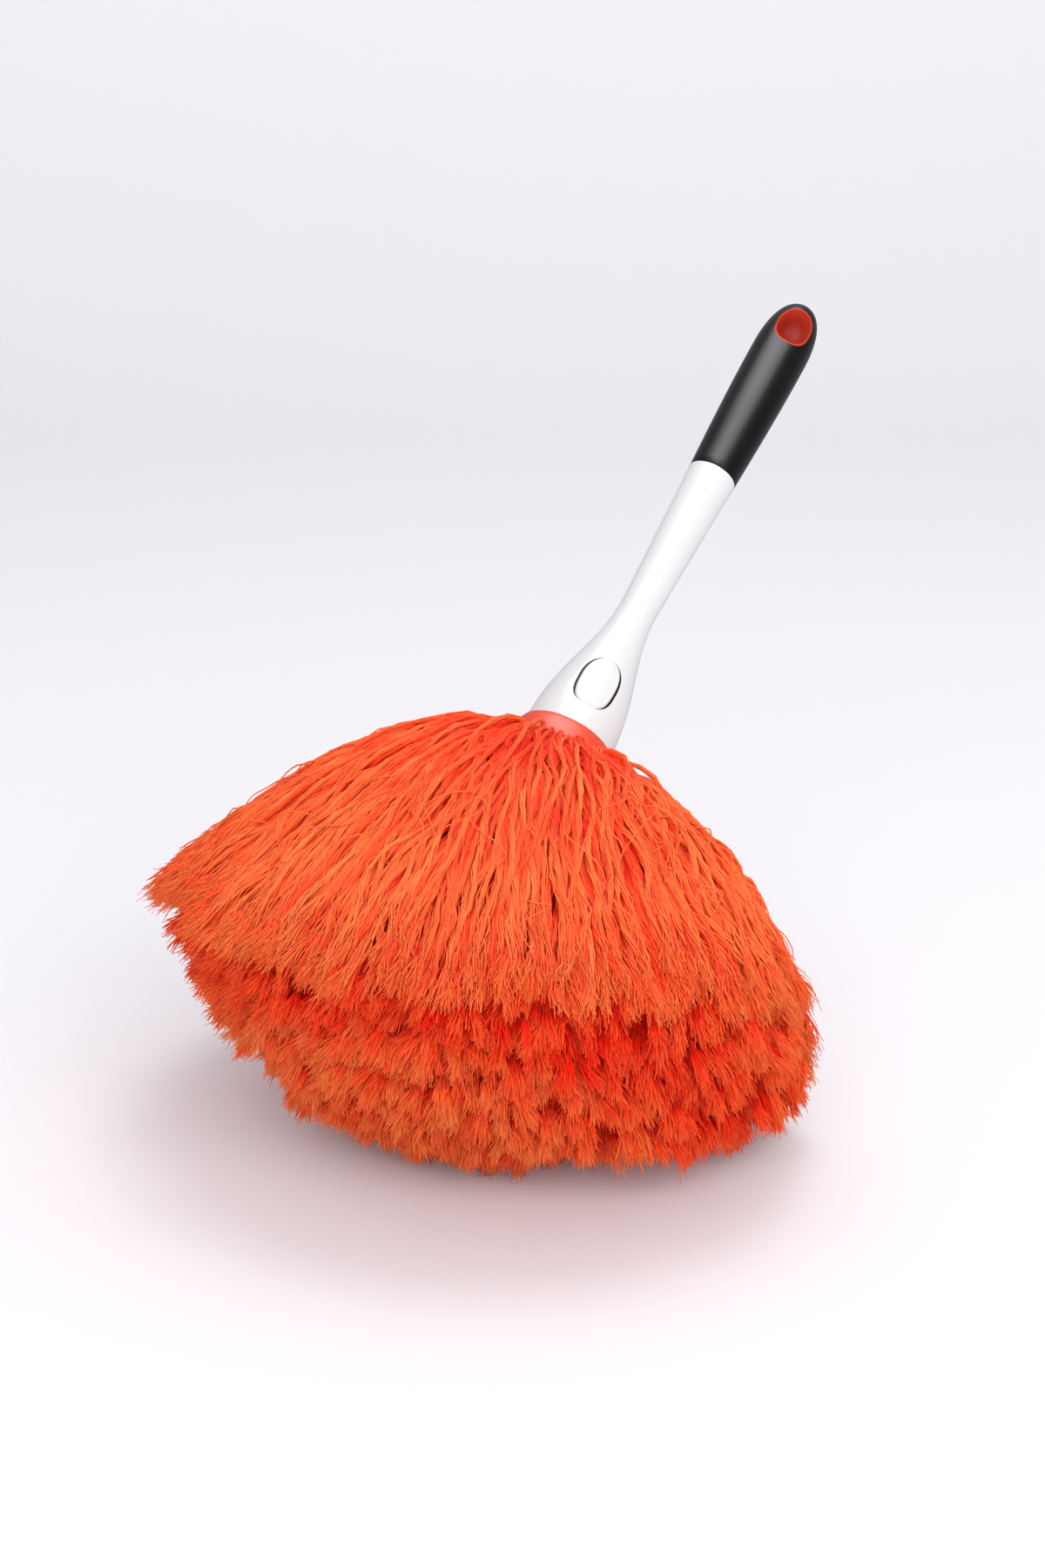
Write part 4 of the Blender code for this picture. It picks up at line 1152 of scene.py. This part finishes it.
stage = {
    # painted light: the paper's colour goes from the floor's to the lighter wall's up to wallLevel
    "floorColor": "#E9E8EB",
    "wallColor": "#F3F2F5",
    "wallLevel": 0.5,
    "mirrored": 0.65,         # share of its light that mirroring surfaces get from it
    "front": -6.0,
    "sweepStart": 1.3,
    "sweepRadius": 1.2,
    "sweepSteps": 24,
    "halfWidth": 9.0,
    "height": 6.0,
}
room = {
    "color": "#F5F4F6",
    "strength": 0.78,
    "mirrored": 0.40,         # darker in mirrors, as behind a real studio's light tent
}
lights = {
    "overhead": {
        "place": (0.2, 0.1, 2.1), "target": (0, 0, 0.1), "width": 0.8, "height": 0.7, "power": 8,
    },
    "frontKey": {
        "place": (0.45, -2.3, 1.5), "target": (0, 0, 0.12), "width": 3.2, "height": 1.4, "power": 60,
    },
    "sheenPanel": {
        "place": (0.35, 0.15, 2.1), "target": (0, 0, 0.1), "width": 2.4, "height": 1.6, "power": 170,
    },
}
camera = {
    "tilt": 20,               # the photograph looks this many degrees down along +Y
    "distance": 1.5,
    "longSide": 1800,
    "focal": 3704,            # this and the rim's place are in the photograph's pixels
    "rimRight": 52,
    "rimUp": 52,
    "sensor": 36,
}


def backdropMaterial():
    # matte studio paper: an even pale grey with a faint mottle; painted light makes it lighter up the
    # wall, and a painted reflection makes it darker in mirrors
    material = newMaterial("backdropPaper", {"Roughness": 0.9, "Specular IOR Level": 0.2})
    place = addNode(material, "ShaderNodeTexCoord")
    parts = addNode(material, "ShaderNodeSeparateXYZ", links={"Vector": place.outputs["Object"]})
    rise = addNode(material, "ShaderNodeMapRange", {"From Max": stage["wallLevel"]},
                   {"Value": parts.outputs["Z"]})
    tone = weighted(material, objectNoise(material, 2 / 3, 2.0), 0.15, rise.outputs["Result"])
    color = toneRamp(material, tone, stage["floorColor"], stage["wallColor"])
    ray = addNode(material, "ShaderNodeLightPath")
    dim = spreadBetween(material, ray.outputs["Is Glossy Ray"], 1.0, stage["mirrored"])
    connect(material, scaledColor(material, color, dim), "Base Color")
    return material


def makeBackdrop():
    # a seamless sweep: flat floor, a wide bend and a wall
    start, radius, steps = stage["sweepStart"], stage["sweepRadius"], stage["sweepSteps"]
    profile = [(stage["front"], 0.0), (start, 0.0)]
    for step in range(1, steps + 1):
        turn = math.pi / 2 * step / steps
        profile.append((start + radius * math.sin(turn), radius * (1 - math.cos(turn))))
    profile.append((start + radius, stage["height"]))
    points = [(side * stage["halfWidth"], y, z) for y, z in profile for side in (-1, 1)]
    faces = [(2 * row, 2 * row + 1, 2 * row + 3, 2 * row + 2) for row in range(len(profile) - 1)]
    meshObject("backdrop", points, faces, backdropMaterial())


def areaLight(name):
    light = lights[name]
    data = bpy.data.lights.new(name, "AREA")
    data.shape = "RECTANGLE"
    data.size = light["width"]
    data.size_y = light["height"]
    data.energy = light["power"]
    item = sceneObject(name, data)
    item.location = light["place"]
    aim = Vector(light["target"]) - Vector(light["place"])
    item.rotation_euler = aim.to_track_quat("-Z", "Y").to_euler()
    return item


def makeLights():
    world = bpy.data.worlds.new("studio")
    bpy.context.scene.world = world
    world.use_nodes = True
    background = world.node_tree.nodes["Background"]
    background.inputs["Color"].default_value = linearColor(room["color"])
    background.inputs["Strength"].default_value = room["strength"]
    dark = addNode(world, "ShaderNodeBackground",
                   {"Color": linearColor(room["color"]), "Strength": room["mirrored"]})
    ray = addNode(world, "ShaderNodeLightPath")
    both = addNode(world, "ShaderNodeMixShader", links={
        0: ray.outputs["Is Glossy Ray"],
        1: background.outputs["Background"],
        2: dark.outputs["Background"],
    })
    output = world.node_tree.nodes["World Output"]
    world.node_tree.links.new(output.inputs["Surface"], both.outputs["Shader"])
    areaLight("overhead")
    areaLight("frontKey")

    # a wide panel overhead that only shows as the grip's soft sheen
    panel = areaLight("sheenPanel")
    panel.visible_diffuse = False
    panel.data.color = linearColor("#F8FCFF")[:3]


def makeCamera():
    # the photograph's viewing angle, on a long lens
    tilt = math.radians(camera["tilt"])
    forward = Vector((0, math.cos(tilt), -math.sin(tilt)))
    upward = Vector((0, math.sin(tilt), math.cos(tilt)))
    distance, focal = camera["distance"], camera["focal"]
    right = Vector((camera["rimRight"] / focal * distance, 0, 0))
    data = bpy.data.cameras.new("camera")
    data.sensor_width = camera["sensor"]
    data.lens = camera["sensor"] * focal / camera["longSide"]
    item = sceneObject("camera", data)
    rise = upward * (camera["rimUp"] / focal * distance)
    item.location = rimCentre - forward * distance - right - rise
    item.rotation_euler = forward.to_track_quat("-Z", "Y").to_euler()
    bpy.context.scene.camera = item


makeBackdrop()
makeLights()
makeCamera()
bpy.context.scene.view_settings.view_transform = "Standard"
bpy.context.scene.cycles.max_bounces = 16
bpy.context.scene.cycles.diffuse_bounces = 12
print("stage set")
